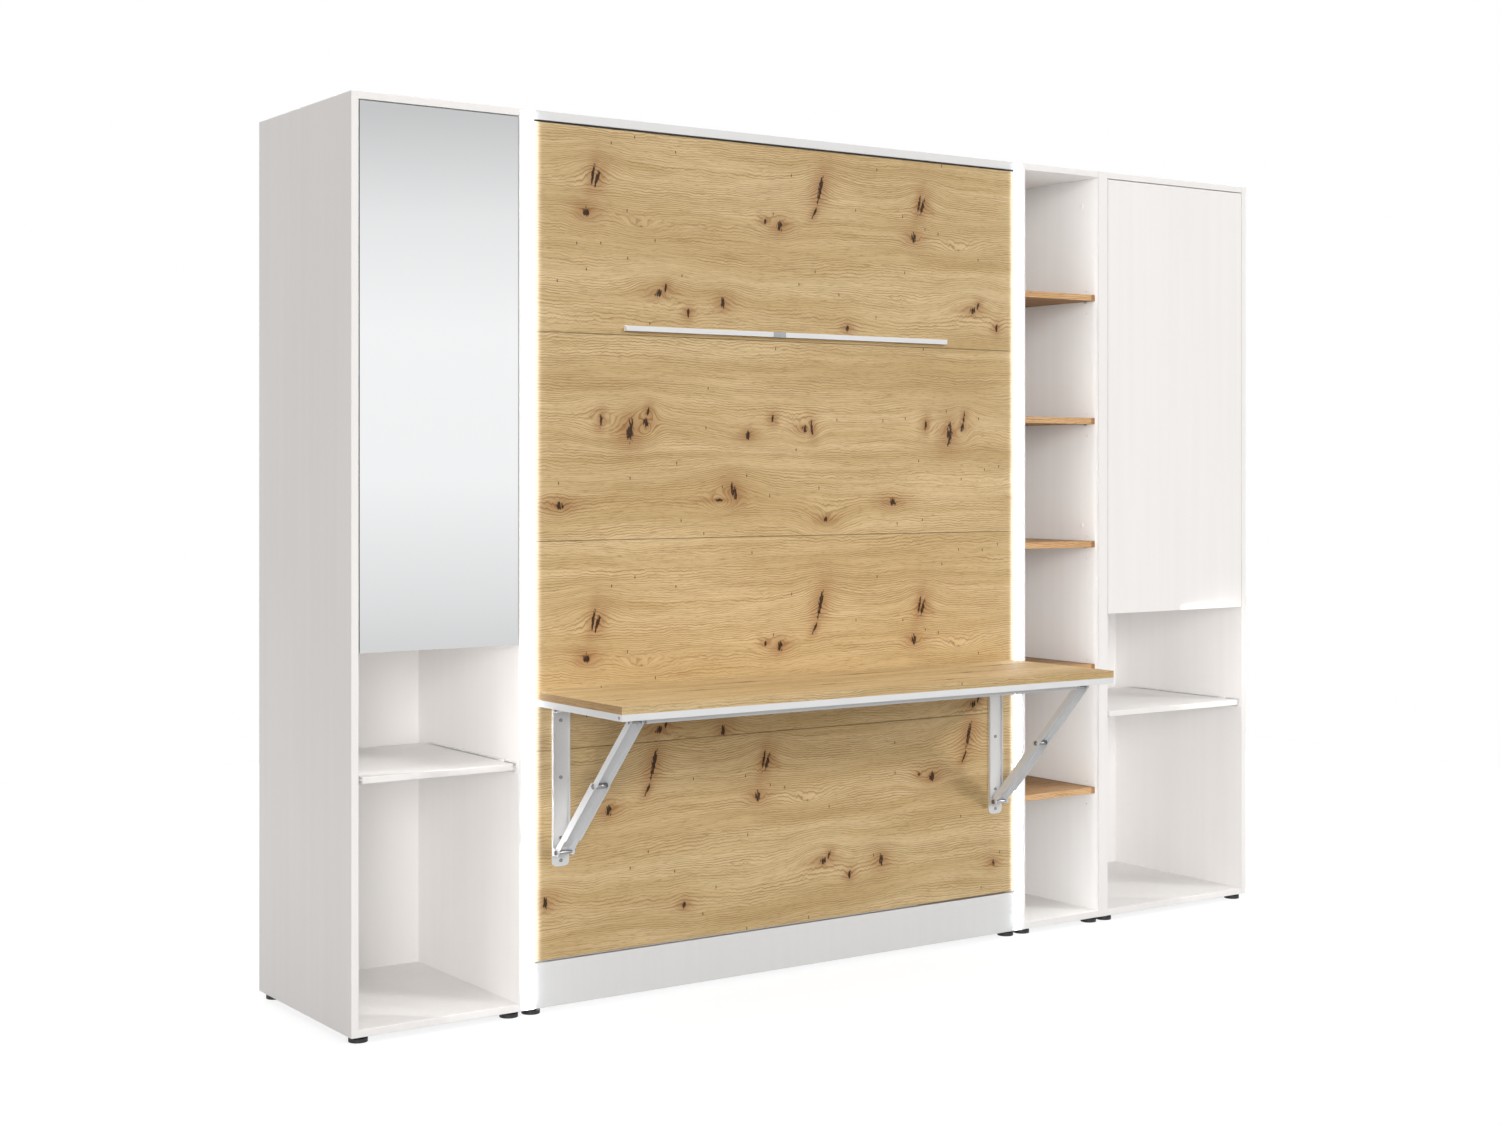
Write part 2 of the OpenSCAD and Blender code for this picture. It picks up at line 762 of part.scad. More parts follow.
// Its section: how far each level is scaled, and its height over the slats
mattress_levels = [
  [0.60, 0], [0.975, 0], [0.993, 0.3 * mattress_edge], [1, mattress_edge],
  [0.996, 1.9 * mattress_edge], [0.992, mattress_t / 2],
  [0.996, mattress_t - 2.2 * mattress_edge], [1, mattress_t - 1.3 * mattress_edge],
  [0.996, mattress_t - 0.65 * mattress_edge], [0.982, mattress_t - 0.3 * mattress_edge],
  [0.94, mattress_t - 0.07 * mattress_edge], [0.85, mattress_t],
  [0.65, mattress_t + mattress_crown / 2], [0.35, mattress_t + mattress_crown]];

// A closed form from stacked rings of one outline; rings run front to back
module stacked_form(outline, levels) {
  n = len(outline);
  m = len(levels);
  points = concat(
    [for (l = levels, p = outline) [p[0] * l[0], l[1], p[1] * l[0]]],
    [[0, levels[0][1], 0], [0, levels[m - 1][1], 0]]);
  sides = [for (k = [0:m - 2], i = [0:n - 1])
    let (j = (i + 1) % n)
    each [[k * n + i, (k + 1) * n + i, k * n + j],
          [k * n + j, (k + 1) * n + i, (k + 1) * n + j]]];
  caps = [for (i = [0:n - 1])
    let (j = (i + 1) % n)
    each [[m * n, i, j], [m * n + 1, (m - 1) * n + j, (m - 1) * n + i]]];
  polyhedron(points, concat(sides, caps));
}

module mattress() color([0.95, 0.94, 0.92]) place()
  translate([bed_mid, mattress_front, mattress_low + mattress_l / 2])
    stacked_form(mattress_outline, mattress_levels);

// Webbing from one frame side over the mattress to the other
module mattress_straps() color([0.25, 0.25, 0.27]) place() {
  top = mattress_front + mattress_t + mattress_crown + soft_gap;
  half = mattress_w / 2 + 2;
  for (z = strap_zs)
    translate([bed_mid, 0, z]) linear_extrude(strap_w) {
      for (s = [-1, 1]) {
        translate([s > 0 ? half : -half - strap_t, frame_back])
          square([strap_t, top - 12 - frame_back]);
        translate([s > 0 ? half : -half - strap_t, frame_back])
          mirror([s > 0 ? 0 : 1, 0]) square([16, strap_t]);
      }
      strap_over(half, top);
    }
}

// The strap's upper run with its two rounded corners, in plan
module strap_over(half, top) {
  r = 12;
  translate([-half + r, top]) square([2 * half - 2 * r, strap_t]);
  for (s = [-1, 1]) translate([s * (half - r), top - r]) intersection() {
    difference() {
      circle(r = r + strap_t);
      circle(r = r);
    }
    translate([s > 0 ? 0 : -r - strap_t, 0]) square([r + strap_t, r + strap_t]);
  }
}

// ---------------------------------------------------------------- handle

// Gutter profile, open upwards, that is gripped from above
module handle_profile() color(paint) place() {
  wall = 2.5;
  low = handle_z - handle_h / 2;
  x = bed_mid - handle_l / 2;
  slab([x, -wall, low], [handle_l, wall, handle_h]);
  slab([x, -handle_d, low], [handle_l, handle_d - wall, wall]);
  slab([x, -handle_d, low + wall], [handle_l, wall, handle_h - wall]);
  for (ex = [x, x + handle_l - wall])
    slab([ex, -handle_d + wall, low + wall], [wall, handle_d - 2 * wall, handle_h - wall]);
}

module handle_clip() color([0.62, 0.64, 0.65]) place() {
  wrap = 0.6;
  low = handle_z - handle_h / 2;
  x = bed_mid + clip_x - clip_l / 2;
  slab([x, -handle_d - wrap, low - wrap], [clip_l, wrap, handle_h + 2 * wrap]);
  slab([x, -handle_d, low - wrap], [clip_l, handle_d, wrap]);
  slab([x, -handle_d, low + handle_h], [clip_l, handle_d, wrap]);
}

// ---------------------------------------------------------------- foot leg

// Cranked flat bars outside the bed frame, joined by the floor tube
module foot_leg() color(steel) place() {
  tip_y = leg_y + leg_reach;
  tip_z = leg_z - leg_crank;
  difference() {
    both_sides(leg_x + leg_t / 2) sheet_yz(-leg_t / 2, leg_t) {
      translate([leg_y - leg_w / 2, tip_z]) square([leg_w, leg_crank]);
      translate([leg_y, leg_z]) circle(d = leg_w);
      translate([leg_y, tip_z]) circle(d = leg_w);
      translate([leg_y, tip_z - leg_w / 2]) square([leg_reach, leg_w]);
      translate([tip_y, tip_z]) circle(d = leg_w);
    }
    x_rod(bed_mid - leg_x - leg_t - 1, leg_y, leg_z, 2 * (leg_x + leg_t + 1),
          leg_stud_d + 2 * fit);
  }
  difference() {
    x_rod(bed_mid - leg_x, tip_y, tip_z, 2 * leg_x, leg_tube_d);
    x_rod(bed_mid - leg_x + 1, tip_y, tip_z, 2 * leg_x - 2, leg_tube_d - 4);
  }
}

// Rubber sleeves on the floor tube
module leg_sleeves() color(black) place() {
  sleeve_l = 60;
  both_sides(leg_x - 70) difference() {
    x_rod(-sleeve_l / 2, leg_y + leg_reach, leg_z - leg_crank, sleeve_l, sleeve_d);
    x_rod(-sleeve_l / 2 - 1, leg_y + leg_reach, leg_z - leg_crank,
          sleeve_l + 2, leg_tube_d);
  }
}

// ---------------------------------------------------------------- gas springs

// Its children along a gas spring: local +Z runs from the upper pivot down
module along_gas() {
  both_sides(gas_x) translate([0, gas_top_y, gas_top_z]) rotate([gas_tilt, 0, 0]) children();
}

module gas_eye(z) {
  difference() {
    x_rod(-gas_eye_w / 2, 0, z, gas_eye_w, gas_eye_d);
    x_rod(-gas_eye_w / 2 - 1, 0, z, gas_eye_w + 2, gas_stud_d + 2 * fit);
  }
}

module gas_cylinders() color(black) place() along_gas() {
  wall = 2;
  cap = 12;
  gas_eye(0);
  difference() {
    translate([0, 0, gas_eye_d / 2 - 1]) cylinder(h = gas_tube_l, d = gas_d);
    translate([0, 0, gas_eye_d / 2 + cap])
      cylinder(h = gas_tube_l - 2 * cap, d = gas_d - 2 * wall);
    translate([0, 0, gas_tube_l / 2]) cylinder(h = gas_tube_l, d = gas_rod_d + 2 * fit);
  }
}

module gas_rods() color(steel) place() along_gas() {
  piston = 8;
  gas_eye(gas_l);
  translate([0, 0, gas_l - gas_rod_l])
    cylinder(h = gas_rod_l - gas_eye_d / 2 + 1, d = gas_rod_d);
  translate([0, 0, gas_l - gas_rod_l]) cylinder(h = piston, d = gas_d - 4 - 2 * fit);
}

// ---------------------------------------------------------------- desk

module desk_top() color(oak) place()
  slab([bed_mid - desk_half, -desk_front, desk_z - desk_t], [2 * desk_half, desk_d, desk_t]);

// White tube frame under the board, with its hinge leaves and strut lugs
module desk_frame() color(paint) place() {
  difference() {
    rim_tubes(0);
    rim_tubes(rim_wall);
    for (y = [-desk_front + rim_w / 2 + 2, -rim_gap - rim_w / 2 - 2])
      x_rod(bed_mid - desk_half - 1, y, desk_bottom + rim_h / 2, 2 * desk_half + 2, 4.5);
  }
  low_rail();
  both_sides(bracket_x) {
    desk_hinge_leaf();
    strut_lug();
  }
}

// The frame's outer form, or with a wall the hollow inside its tubes
module rim_tubes(wall) {
  h = rim_h - 2 * wall;
  w = rim_w - 2 * wall;
  for (y = [-desk_front, -rim_gap - rim_w, lug_y - rim_w / 2])
    slab([bed_mid - desk_half + wall, y + wall, desk_bottom + wall],
         [2 * (desk_half - wall), w, h]);
  for (x = [bed_mid - desk_half, bed_mid + desk_half - rim_w])
    slab([x + wall, -desk_front + wall, desk_bottom + wall], [w, desk_d - 2 * wall, h]);
}

// Rail under the frame that ties both brackets' lugs together
module low_rail() {
  rail_h = 14;
  x = bed_mid - bracket_x + strip_w / 2;
  rail_l = 2 * bracket_x - strip_w;
  difference() {
    slab([x, lug_y - rim_w / 2, desk_bottom - rail_h], [rail_l, rim_w, rail_h]);
    slab([x - 1, lug_y - rim_w / 2 + rim_wall, desk_bottom - rail_h + rim_wall],
         [rail_l + 2, rim_w - 2 * rim_wall, rail_h - 2 * rim_wall]);
  }
}

// Lug of two ears that carries the upper strut's pin
module strut_lug() difference() {
  for (x = [-ear_w / 2, ear_w / 2 - sheet]) {
    x_rod(x, lug_y, hinge_z, sheet, 2 * strut_r);
    slab([x, lug_y - strut_r, hinge_z], [sheet, 2 * strut_r, hinge_drop]);
  }
  x_rod(-ear_w, lug_y, hinge_z, 2 * ear_w, pin_d + 2 * fit);
}

// Leaf under the desk with the knuckle that turns on the hinge pin
module desk_hinge_leaf() {
  knuckle = strip_w - 2 * sheet - 2 * slack;
  knuckle_d = 14;
  leaf = 76;
  leaf_t = 3;
  difference() {
    union() {
      x_rod(-knuckle / 2, -hinge_y, hinge_z, knuckle, knuckle_d);
      slab([-knuckle / 2, -hinge_y - 4, hinge_z], [knuckle, 8, hinge_drop]);
      slab([-knuckle / 2, -hinge_y - leaf, desk_bottom], [knuckle, leaf + 2, leaf_t]);
    }
    x_rod(-knuckle, -hinge_y, hinge_z, 2 * knuckle, pin_d + 2 * fit);
  }
}

// Pins through the desk's lugs and the upper struts
module desk_pins() color(steel) place() both_sides(bracket_x)
  x_rod(-upper_w / 2 + fit, lug_y, hinge_z, upper_w - 2 * fit, pin_d);

// Channels screwed to the bed's front, with the ears of both fixed pivots
module desk_wall_strips() color(paint) place() both_sides(bracket_x) {
  low_z = hinge_z - strut_low;
  ear_r = 9;
  difference() {
    union() {
      slab([-strip_w / 2, -sheet, strip_bottom + 12],
           [strip_w, sheet, hinge_z + strut_r - strip_bottom - 12]);
      slab([-strip_w / 2 + 12, -sheet, strip_bottom], [strip_w - 24, sheet, 13]);
      for (x = [-strip_w / 2 + 12, strip_w / 2 - 12])
        y_rod(x, -sheet, strip_bottom + 12, sheet, 24);
      for (x = [-strip_w / 2, strip_w / 2 - sheet]) {
        slab([x, -strip_flange, low_z - ear_r],
             [sheet, strip_flange - sheet, strut_low + ear_r + strut_r]);
        slab([x, -hinge_y, low_z - ear_r], [sheet, hinge_y - sheet, 2 * ear_r]);
        x_rod(x, -hinge_y, low_z, sheet, 2 * ear_r);
        slab([x, -hinge_y, hinge_z - strut_r], [sheet, hinge_y - sheet, 2 * strut_r]);
        x_rod(x, -hinge_y, hinge_z, sheet, 2 * strut_r);
      }
    }
    for (z = [low_z, hinge_z])
      x_rod(-strip_w, -hinge_y, z, 2 * strip_w, pin_d + 2 * fit);
    for (z = screw_zs) y_rod(0, -sheet - 1, z, sheet + 2, screw_d + 2 * fit);
  }
}

// Hinge pins in the strips' ears, and the screws that hold the strips
module bracket_pins() color(steel) place() both_sides(bracket_x) {
  head_t = 3;
  head_d = 12;
  for (z = [hinge_z - strut_low, hinge_z]) {
    x_rod(-strip_w / 2, -hinge_y, z, strip_w, pin_d);
    for (x = [-strip_w / 2 - head_t, strip_w / 2])
      x_rod(x, -hinge_y, z, head_t, head_d);
  }
  for (z = screw_zs) {
    y_rod(0, -sheet, z, front_t, screw_d);
    y_rod(0, -sheet - 2, z, 2, 2.2 * screw_d);
  }
}

// Side plates and pivot bosses of a strut, along local +Z from its first pivot
module strut_sides(width, length, low, high, foot_low) {
  step = 50;
  for (x = [-width / 2, width / 2 - sheet]) sheet_yz(x, sheet) {
    circle(r = strut_r);
    translate([0, length]) circle(r = strut_r);
    translate([foot_low, 0]) square([high - foot_low, step]);
    translate([low, step]) square([high - low, length - step]);
  }
}

// Lower struts: wide channels with the knee's rivets
module desk_lower_struts() color(paint) place() both_sides(bracket_x)
  translate([0, -hinge_y, hinge_z - strut_low]) rotate([strut_tilt, 0, 0]) {
    web_y = strut_r + 2;
    difference() {
      union() {
        strut_sides(strut_w, lower_l, -strut_r, web_y + sheet, -strut_r / 2);
        slab([-strut_w / 2 + sheet, web_y, web_start],
             [strut_w - 2 * sheet, sheet, lower_l - web_cut - web_start]);
        for (x = [-strut_w / 2 - 2, strut_w / 2]) x_rod(x, 0, lower_l, 2, 10);
      }
      x_rod(-strut_w, 0, 0, 2 * strut_w, pin_d + 2 * fit);
    }
  }

// Upper struts: narrower channels that close over the lower ones
module desk_upper_struts() color(paint) place() both_sides(bracket_x)
  translate([0, lug_y, hinge_z]) rotate([180 + strut_tilt, 0, 0])
    difference() {
      union() {
        strut_sides(upper_w, upper_l, -strut_r, strut_r, -strut_r);
        slab([-upper_w / 2 + sheet, -strut_r, web_start],
             [upper_w - 2 * sheet, sheet, upper_l - web_start - knee_bush_d]);
        x_rod(-upper_w / 2 + sheet, 0, upper_l, upper_w - 2 * sheet, knee_bush_d);
      }
      x_rod(-upper_w, 0, 0, 2 * upper_w, pin_d + 2 * fit);
      x_rod(-upper_w, 0, upper_l, 2 * upper_w, pin_d + 2 * fit);
    }

// ---------------------------------------------------------------- all nodes

wardrobe_left_side();
wardrobe_right_side();
wardrobe_top();
wardrobe_bottom();
wardrobe_mid_shelf();
wardrobe_back();
hanging_rail();
bed_left_side();
bed_right_side();
bed_top_board();
bed_plinth();
bed_rear_rails();
bed_pivot_plates();
led_profiles();
led_diffusers();
shelving_left_side();
shelving_right_side();
shelving_top();
shelving_bottom();
shelving_back();
oak_shelves();
shelf_pins();
cupboard_left_side();
cupboard_right_side();
cupboard_top();
cupboard_bottom();
cupboard_mid_shelf();
cupboard_inner_shelves();
cupboard_back();
door_hinge_arms();
runner_rails();
levelling_feet();
connector_bolts();
wardrobe_door();
wardrobe_mirror();
wardrobe_hinge_cups();
cupboard_door();
cupboard_hinge_cups();
wardrobe_pullout_shelf();
wardrobe_runner_slides();
cupboard_pullout_shelf();
cupboard_runner_slides();
front_boards();
bed_frame();
bed_slats();
mattress();
mattress_straps();
handle_profile();
handle_clip();
desk_wall_strips();
bracket_pins();
foot_leg();
leg_sleeves();
gas_cylinders();
gas_rods();
desk_top();
desk_frame();
desk_pins();
desk_lower_struts();
desk_upper_struts();
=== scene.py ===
# %% [markdown]
# # A wall unit with a fold-down bed and a fold-down desk
# The construction comes packed: every board, tube and pin already has its place
# and size. This script adds what the construction can't hold, which is the
# finish of each surface and the forms of the soft parts, and it lights the unit
# in front of a white ground. Lengths are metres, and the unit's front faces -Y.

# %% Load the construction
import json
import math

import bmesh
import bpy
import numpy as np
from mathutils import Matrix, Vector


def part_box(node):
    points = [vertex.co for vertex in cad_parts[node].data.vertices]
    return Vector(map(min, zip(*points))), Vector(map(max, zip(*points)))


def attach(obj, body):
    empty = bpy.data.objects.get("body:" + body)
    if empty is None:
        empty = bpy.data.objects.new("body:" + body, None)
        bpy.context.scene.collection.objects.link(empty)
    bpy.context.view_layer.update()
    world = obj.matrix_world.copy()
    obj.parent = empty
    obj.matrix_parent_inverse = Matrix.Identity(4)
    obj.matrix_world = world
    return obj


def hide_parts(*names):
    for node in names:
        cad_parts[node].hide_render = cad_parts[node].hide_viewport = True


MM = 0.001
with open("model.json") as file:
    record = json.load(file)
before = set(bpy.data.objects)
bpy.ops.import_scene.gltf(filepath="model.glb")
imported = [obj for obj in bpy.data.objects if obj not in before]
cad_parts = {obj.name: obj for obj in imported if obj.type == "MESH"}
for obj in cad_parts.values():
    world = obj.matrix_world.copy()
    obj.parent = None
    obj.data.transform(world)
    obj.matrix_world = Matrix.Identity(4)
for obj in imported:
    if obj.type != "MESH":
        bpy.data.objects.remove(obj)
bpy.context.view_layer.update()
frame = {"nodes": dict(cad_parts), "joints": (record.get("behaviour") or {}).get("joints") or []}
nodes = frame["nodes"]
scene = bpy.context.scene

# %% [markdown]
# ## Camera
# The picture looks level at the unit from its left, so upright edges stay
# upright. A level camera with a small vertical shift gives that, where a tilted
# one would make the uprights lean.

# %% Camera
EYE = (-3.503, -4.592, 1.311)
TURN = math.radians(34.74)
SHIFT_UP = -0.0619
LENS = 51.34

camera_data = bpy.data.cameras.new("camera")
camera_data.lens = LENS
camera_data.sensor_width = 36
camera_data.shift_y = SHIFT_UP
camera = bpy.data.objects.new("camera", camera_data)
camera.location = EYE
camera.rotation_euler = (math.pi / 2, 0, -TURN)
scene.collection.objects.link(camera)
scene.camera = camera
print("camera looks", round(math.degrees(TURN), 1), "degrees to the right of +Y")

# %% [markdown]
# ## Writing shaders as formulas
# A shader can be built by hand in the node editor, one node at a time. Code that
# repeats is easier to read as formulas, so these helpers each add one node and
# give back its output. A plain number and an output can both be an argument.

# %% Helpers for shader nodes
def connect(tree, value, socket):
    """Links an output to a socket, or sets the socket to a plain value."""
    if isinstance(value, bpy.types.NodeSocket):
        tree.links.new(value, socket)
    elif socket.type == "RGBA" and len(value) == 3:
        socket.default_value = (*value, 1)
    else:
        socket.default_value = value


def add(tree, kind, values=(), **settings):
    """A new node with its settings, and its inputs given by name or number."""
    node = tree.nodes.new(kind)
    for name, value in settings.items():
        setattr(node, name, value)
    for name, value in dict(values).items():
        connect(tree, value, node.inputs[name])
    return node


def calc(tree, operation, *values):
    return add(tree, "ShaderNodeMath", enumerate(values), operation=operation).outputs[0]


def vector(tree, operation, *values):
    node = add(tree, "ShaderNodeVectorMath", enumerate(values), operation=operation)
    return node.outputs["Value" if operation in ("DOT_PRODUCT", "LENGTH") else "Vector"]


def remap(tree, value, low, high, to_low=0.0, to_high=1.0):
    """Takes low..high smoothly to to_low..to_high, and stays there outside."""
    node = add(tree, "ShaderNodeMapRange",
               {"Value": value, "From Min": low, "From Max": high,
                "To Min": to_low, "To Max": to_high}, interpolation_type="SMOOTHSTEP")
    return node.outputs["Result"]


def blend_colours(tree, share, first, second, mode="MIX"):
    node = add(tree, "ShaderNodeMix", data_type="RGBA", blend_type=mode)
    connect(tree, share, node.inputs["Factor"])
    connect(tree, first, node.inputs[6])
    connect(tree, second, node.inputs[7])
    return node.outputs[2]


def noise(tree, point, stretch, detail=2.0, roughness=0.5):
    """Cloudy values round 0.5; stretch is how many clouds a metre holds each way."""
    scaled = vector(tree, "MULTIPLY", point, stretch)
    node = add(tree, "ShaderNodeTexNoise",
               {"Vector": scaled, "Scale": 1.0, "Detail": detail, "Roughness": roughness})
    return node.outputs[0]


def split(tree, point):
    return add(tree, "ShaderNodeSeparateXYZ", {0: point}).outputs


def join(tree, x, y, z):
    return add(tree, "ShaderNodeCombineXYZ", {0: x, 1: y, 2: z}).outputs[0]


def facing(tree):
    """The way the surface faces, as X, Y and Z."""
    return split(tree, add(tree, "ShaderNodeTexCoord").outputs["Normal"])


# %% [markdown]
# What several materials share is a node group. It is built once, with named
# inputs and outputs, and each material places it with its own values.

# %% Helpers for node groups
def new_group(name, inputs, outputs):
    """A node group: inputs and outputs are {socket name: Float, Vector or Color}."""
    tree = bpy.data.node_groups.new(name, "ShaderNodeTree")
    for direction, sockets in (("INPUT", inputs), ("OUTPUT", outputs)):
        for label, kind in sockets.items():
            tree.interface.new_socket(label, in_out=direction,
                                      socket_type="NodeSocket" + kind)
    given = tree.nodes.new("NodeGroupInput").outputs
    result = tree.nodes.new("NodeGroupOutput").inputs
    return tree, given, result


def place_group(tree, group, values):
    node = tree.nodes.new("ShaderNodeGroup")
    node.node_tree = group
    for name, value in values.items():
        connect(tree, value, node.inputs[name])
    return node.outputs


# %% [markdown]
# ## A material and its bump
# Each finish is one Principled BSDF. What is the same all over goes straight on
# its sockets. What varies is linked to them, and fine relief goes through one
# Bump node.

# %% Helpers for materials
def new_material(name, **plain):
    """A material, its tree, its shader and the place on the object as a vector."""
    material = bpy.data.materials.new(name)
    material.use_nodes = True
    tree = material.node_tree
    shader = tree.nodes["Principled BSDF"]
    for key, value in plain.items():
        connect(tree, value, shader.inputs[key.replace("_", " ")])
    point = add(tree, "ShaderNodeTexCoord").outputs["Object"]
    return material, tree, shader, point


def relief(tree, shader, height, distance):
    """Fine relief: height 0..1 stands for distance metres."""
    bump = add(tree, "ShaderNodeBump", {"Height": height, "Distance": distance,
                                        "Strength": 1.0})
    tree.links.new(bump.outputs["Normal"], shader.inputs["Normal"])


def put_on(tree, shader, skin, depth):
    """Gives a shader the colour and roughness of a group, and its height as relief."""
    connect(tree, skin["Colour"], shader.inputs["Base Color"])
    connect(tree, skin["Roughness"], shader.inputs["Roughness"])
    relief(tree, shader, skin["Height"], depth)


def srgb(red, green, blue):
    """A colour as it is read from a screen, 0..255, in the renderer's own scale."""
    return tuple(((c / 255 + 0.055) / 1.055) ** 2.4 for c in (red, green, blue))


# %% [markdown]
# ## Knotty oak
# The fronts, the desk and the open shelves are knotty oak. Real grain is a set
# of growth rings cut lengthwise, so its lines are contours of one smooth field.
# An image would give that at once, but it would be one fixed photograph. Here
# the field is the height across the grain, warped by noise. A knot pushes the
# field apart, so that lines flow round it, and lifts it, so that rings close.

# %% One knot, as a node group
KNOT_IN = {"Point": "Vector", "Centre": "Vector", "Core": "Vector", "Reach": "Vector",
           "Part": "Float", "Lift": "Float", "Lean": "Float", "Ragged": "Float",
           "Field": "Float", "Dark": "Float", "Halo": "Float"}
STAIN_REACH = (7.0, 1.0, 2.6)  # the stained wood round a core, in widths of the core
knot_group, given, result = new_group(
    "knot", KNOT_IN, {"Field": "Float", "Dark": "Float", "Halo": "Float"})
tree = knot_group
away = vector(tree, "SUBTRACT", given["Point"], given["Centre"])
near = vector(tree, "DIVIDE", away, given["Reach"])
left_over = calc(tree, "MULTIPLY_ADD", vector(tree, "LENGTH", near), -0.5, 1.0)
fade = calc(tree, "POWER", calc(tree, "MAXIMUM", left_over, 0.0), 2.0)
across = vector(tree, "DOT_PRODUCT", away, (0, 0, 1))
parted = calc(tree, "MULTIPLY", calc(tree, "MULTIPLY", across, given["Part"]), fade)
lifted = calc(tree, "MULTIPLY", given["Lift"], fade)
field = calc(tree, "ADD", calc(tree, "SUBTRACT", given["Field"], parted), lifted)
connect(tree, field, result["Field"])
leaning = vector(tree, "SUBTRACT", away,
                 join(tree, calc(tree, "MULTIPLY", across, given["Lean"]), 0.0, 0.0))
shaped = vector(tree, "DIVIDE", leaning, given["Core"])
inside = calc(tree, "ADD", vector(tree, "DOT_PRODUCT", shaped, shaped),
              given["Ragged"])
core = remap(tree, inside, 0.5, 1.5, 1.0, 0.0)
connect(tree, calc(tree, "MAXIMUM", given["Dark"], core), result["Dark"])
stained = vector(tree, "DIVIDE", leaning,
                 vector(tree, "MULTIPLY", given["Core"], STAIN_REACH))
stain = calc(tree, "EXPONENT",
             calc(tree, "MULTIPLY", vector(tree, "DOT_PRODUCT", stained, stained), -1.0))
connect(tree, calc(tree, "MAXIMUM", given["Halo"], stain), result["Halo"])
print("knot group with", len(tree.nodes), "nodes")

# %% [markdown]
# ## The colours of the wood
# Five things lie over each other: broad light and dark zones, thin lines of late
# wood, fine fibre, short open pores, and the brown of the knots. All follow the
# warped field, and all run much longer along the grain than across it. A growth
# ring is light, darkens towards its late wood, and ends there sharply, so a ring
# is the field's fraction: it climbs slowly and falls back at once. Near a knot
# the rings are tighter and browner.

# %% Grain of the wood, as a node group
RING = 6.2 * MM
RING_WAVES = [  # clouds that a metre holds each way, and the rings that they shift
    ((1.2, 8, 14), 6.0), ((20, 30, 26), 1.7), ((105, 90, 48), 0.75)]
wood_group, given, result = new_group(
    "wood",
    {"Point": "Vector", "Field": "Float", "Dark": "Float", "Halo": "Float",
     "Light wood": "Color", "Deep wood": "Color", "Line": "Color"},
    {"Colour": "Color", "Roughness": "Float", "Height": "Float"})
tree = wood_group
parts = split(tree, given["Point"])
grain = join(tree, parts["X"], parts["Y"], given["Field"])
phase = calc(tree, "DIVIDE", given["Field"], RING)
for stretch, shift in RING_WAVES:
    phase = calc(tree, "MULTIPLY_ADD", noise(tree, grain, stretch, 1), shift, phase)
year = calc(tree, "FRACT", phase)
late = calc(tree, "MULTIPLY", remap(tree, year, 0.35, 0.88),
            remap(tree, year, 0.88, 1.0, 1.0, 0.0))
ring_depth = remap(tree, noise(tree, grain, (3, 6, 50), 2), 0.36, 0.64, 0.16, 0.66)
near_knot = calc(tree, "ADD", ring_depth, calc(tree, "MULTIPLY", given["Halo"], 0.3))
rings = calc(tree, "MULTIPLY", calc(tree, "POWER", late, 1.5), near_knot)
zones = noise(tree, grain, (1.1, 3, 11), 3)
streaks = noise(tree, grain, (2.2, 8, 60), 2)
tone = calc(tree, "ADD", calc(tree, "MULTIPLY", zones, 0.65),
            calc(tree, "MULTIPLY", streaks, 0.35))
colour = blend_colours(tree, remap(tree, tone, 0.36, 0.64), given["Light wood"],
                       given["Deep wood"])
colour = blend_colours(tree, rings, colour, given["Line"])
fibre = noise(tree, grain, (14, 60, 420), 2)
colour = blend_colours(tree, remap(tree, fibre, 0.42, 0.75, 0.0, 0.26), colour,
                       given["Line"])
pores = remap(tree, noise(tree, grain, (40, 240, 760), 1), 0.58, 0.70)
colour = blend_colours(tree, calc(tree, "MULTIPLY", pores, 0.48), colour, given["Line"])
print("grain made of", len(tree.nodes), "nodes")

# %% [markdown]
# Knots come last. The wood round a core is stained brown, more so close to it.
# Besides the large knots, oak has pins: knots of a few millimetres, strewn at
# random. They are the middles of a few cells of a coarse cell pattern.

# %% Stain, cores and pins, in the same group
STAIN_COLOUR = srgb(152, 104, 60)
PIN_SIZE = (0.014, 0.028)  # a pin's dark core and its rim, in cells of the pattern
CORE_COLOUR = srgb(40, 20, 11)
close_halo = calc(tree, "POWER", given["Halo"], 2.2)
colour = blend_colours(tree, calc(tree, "ADD", calc(tree, "MULTIPLY", close_halo, 0.45),
                                  calc(tree, "MULTIPLY", given["Halo"], 0.20)),
                       colour, STAIN_COLOUR)
on_face = join(tree, vector(tree, "DOT_PRODUCT", given["Point"], (14, 0, 0)),
               vector(tree, "DOT_PRODUCT", given["Point"], (0, 0, 5)), 0.0)
pin_cell = add(tree, "ShaderNodeTexVoronoi",
               {"Vector": on_face, "Scale": 1.0, "Randomness": 1.0},
               voronoi_dimensions="2D")
pin_kept = calc(tree, "GREATER_THAN",
                vector(tree, "DOT_PRODUCT", pin_cell.outputs["Color"], (1, 0, 0)), 0.55)
pins = calc(tree, "MULTIPLY", pin_kept,
            remap(tree, pin_cell.outputs["Distance"], *PIN_SIZE, 1.0, 0.0))
colour = blend_colours(tree, calc(tree, "MULTIPLY", pins, 0.8), colour, CORE_COLOUR)
colour = blend_colours(tree, calc(tree, "MULTIPLY", given["Dark"], 0.94), colour,
                       CORE_COLOUR)
connect(tree, colour, result["Colour"])
connect(tree, remap(tree, fibre, 0.2, 0.8, 0.5, 0.66), result["Roughness"])
height = calc(tree, "SUBTRACT", calc(tree, "MULTIPLY", fibre, 0.4),
              calc(tree, "ADD", calc(tree, "MULTIPLY", pores, 0.5),
                   calc(tree, "MULTIPLY", given["Dark"], 0.6)))
connect(tree, height, result["Height"])
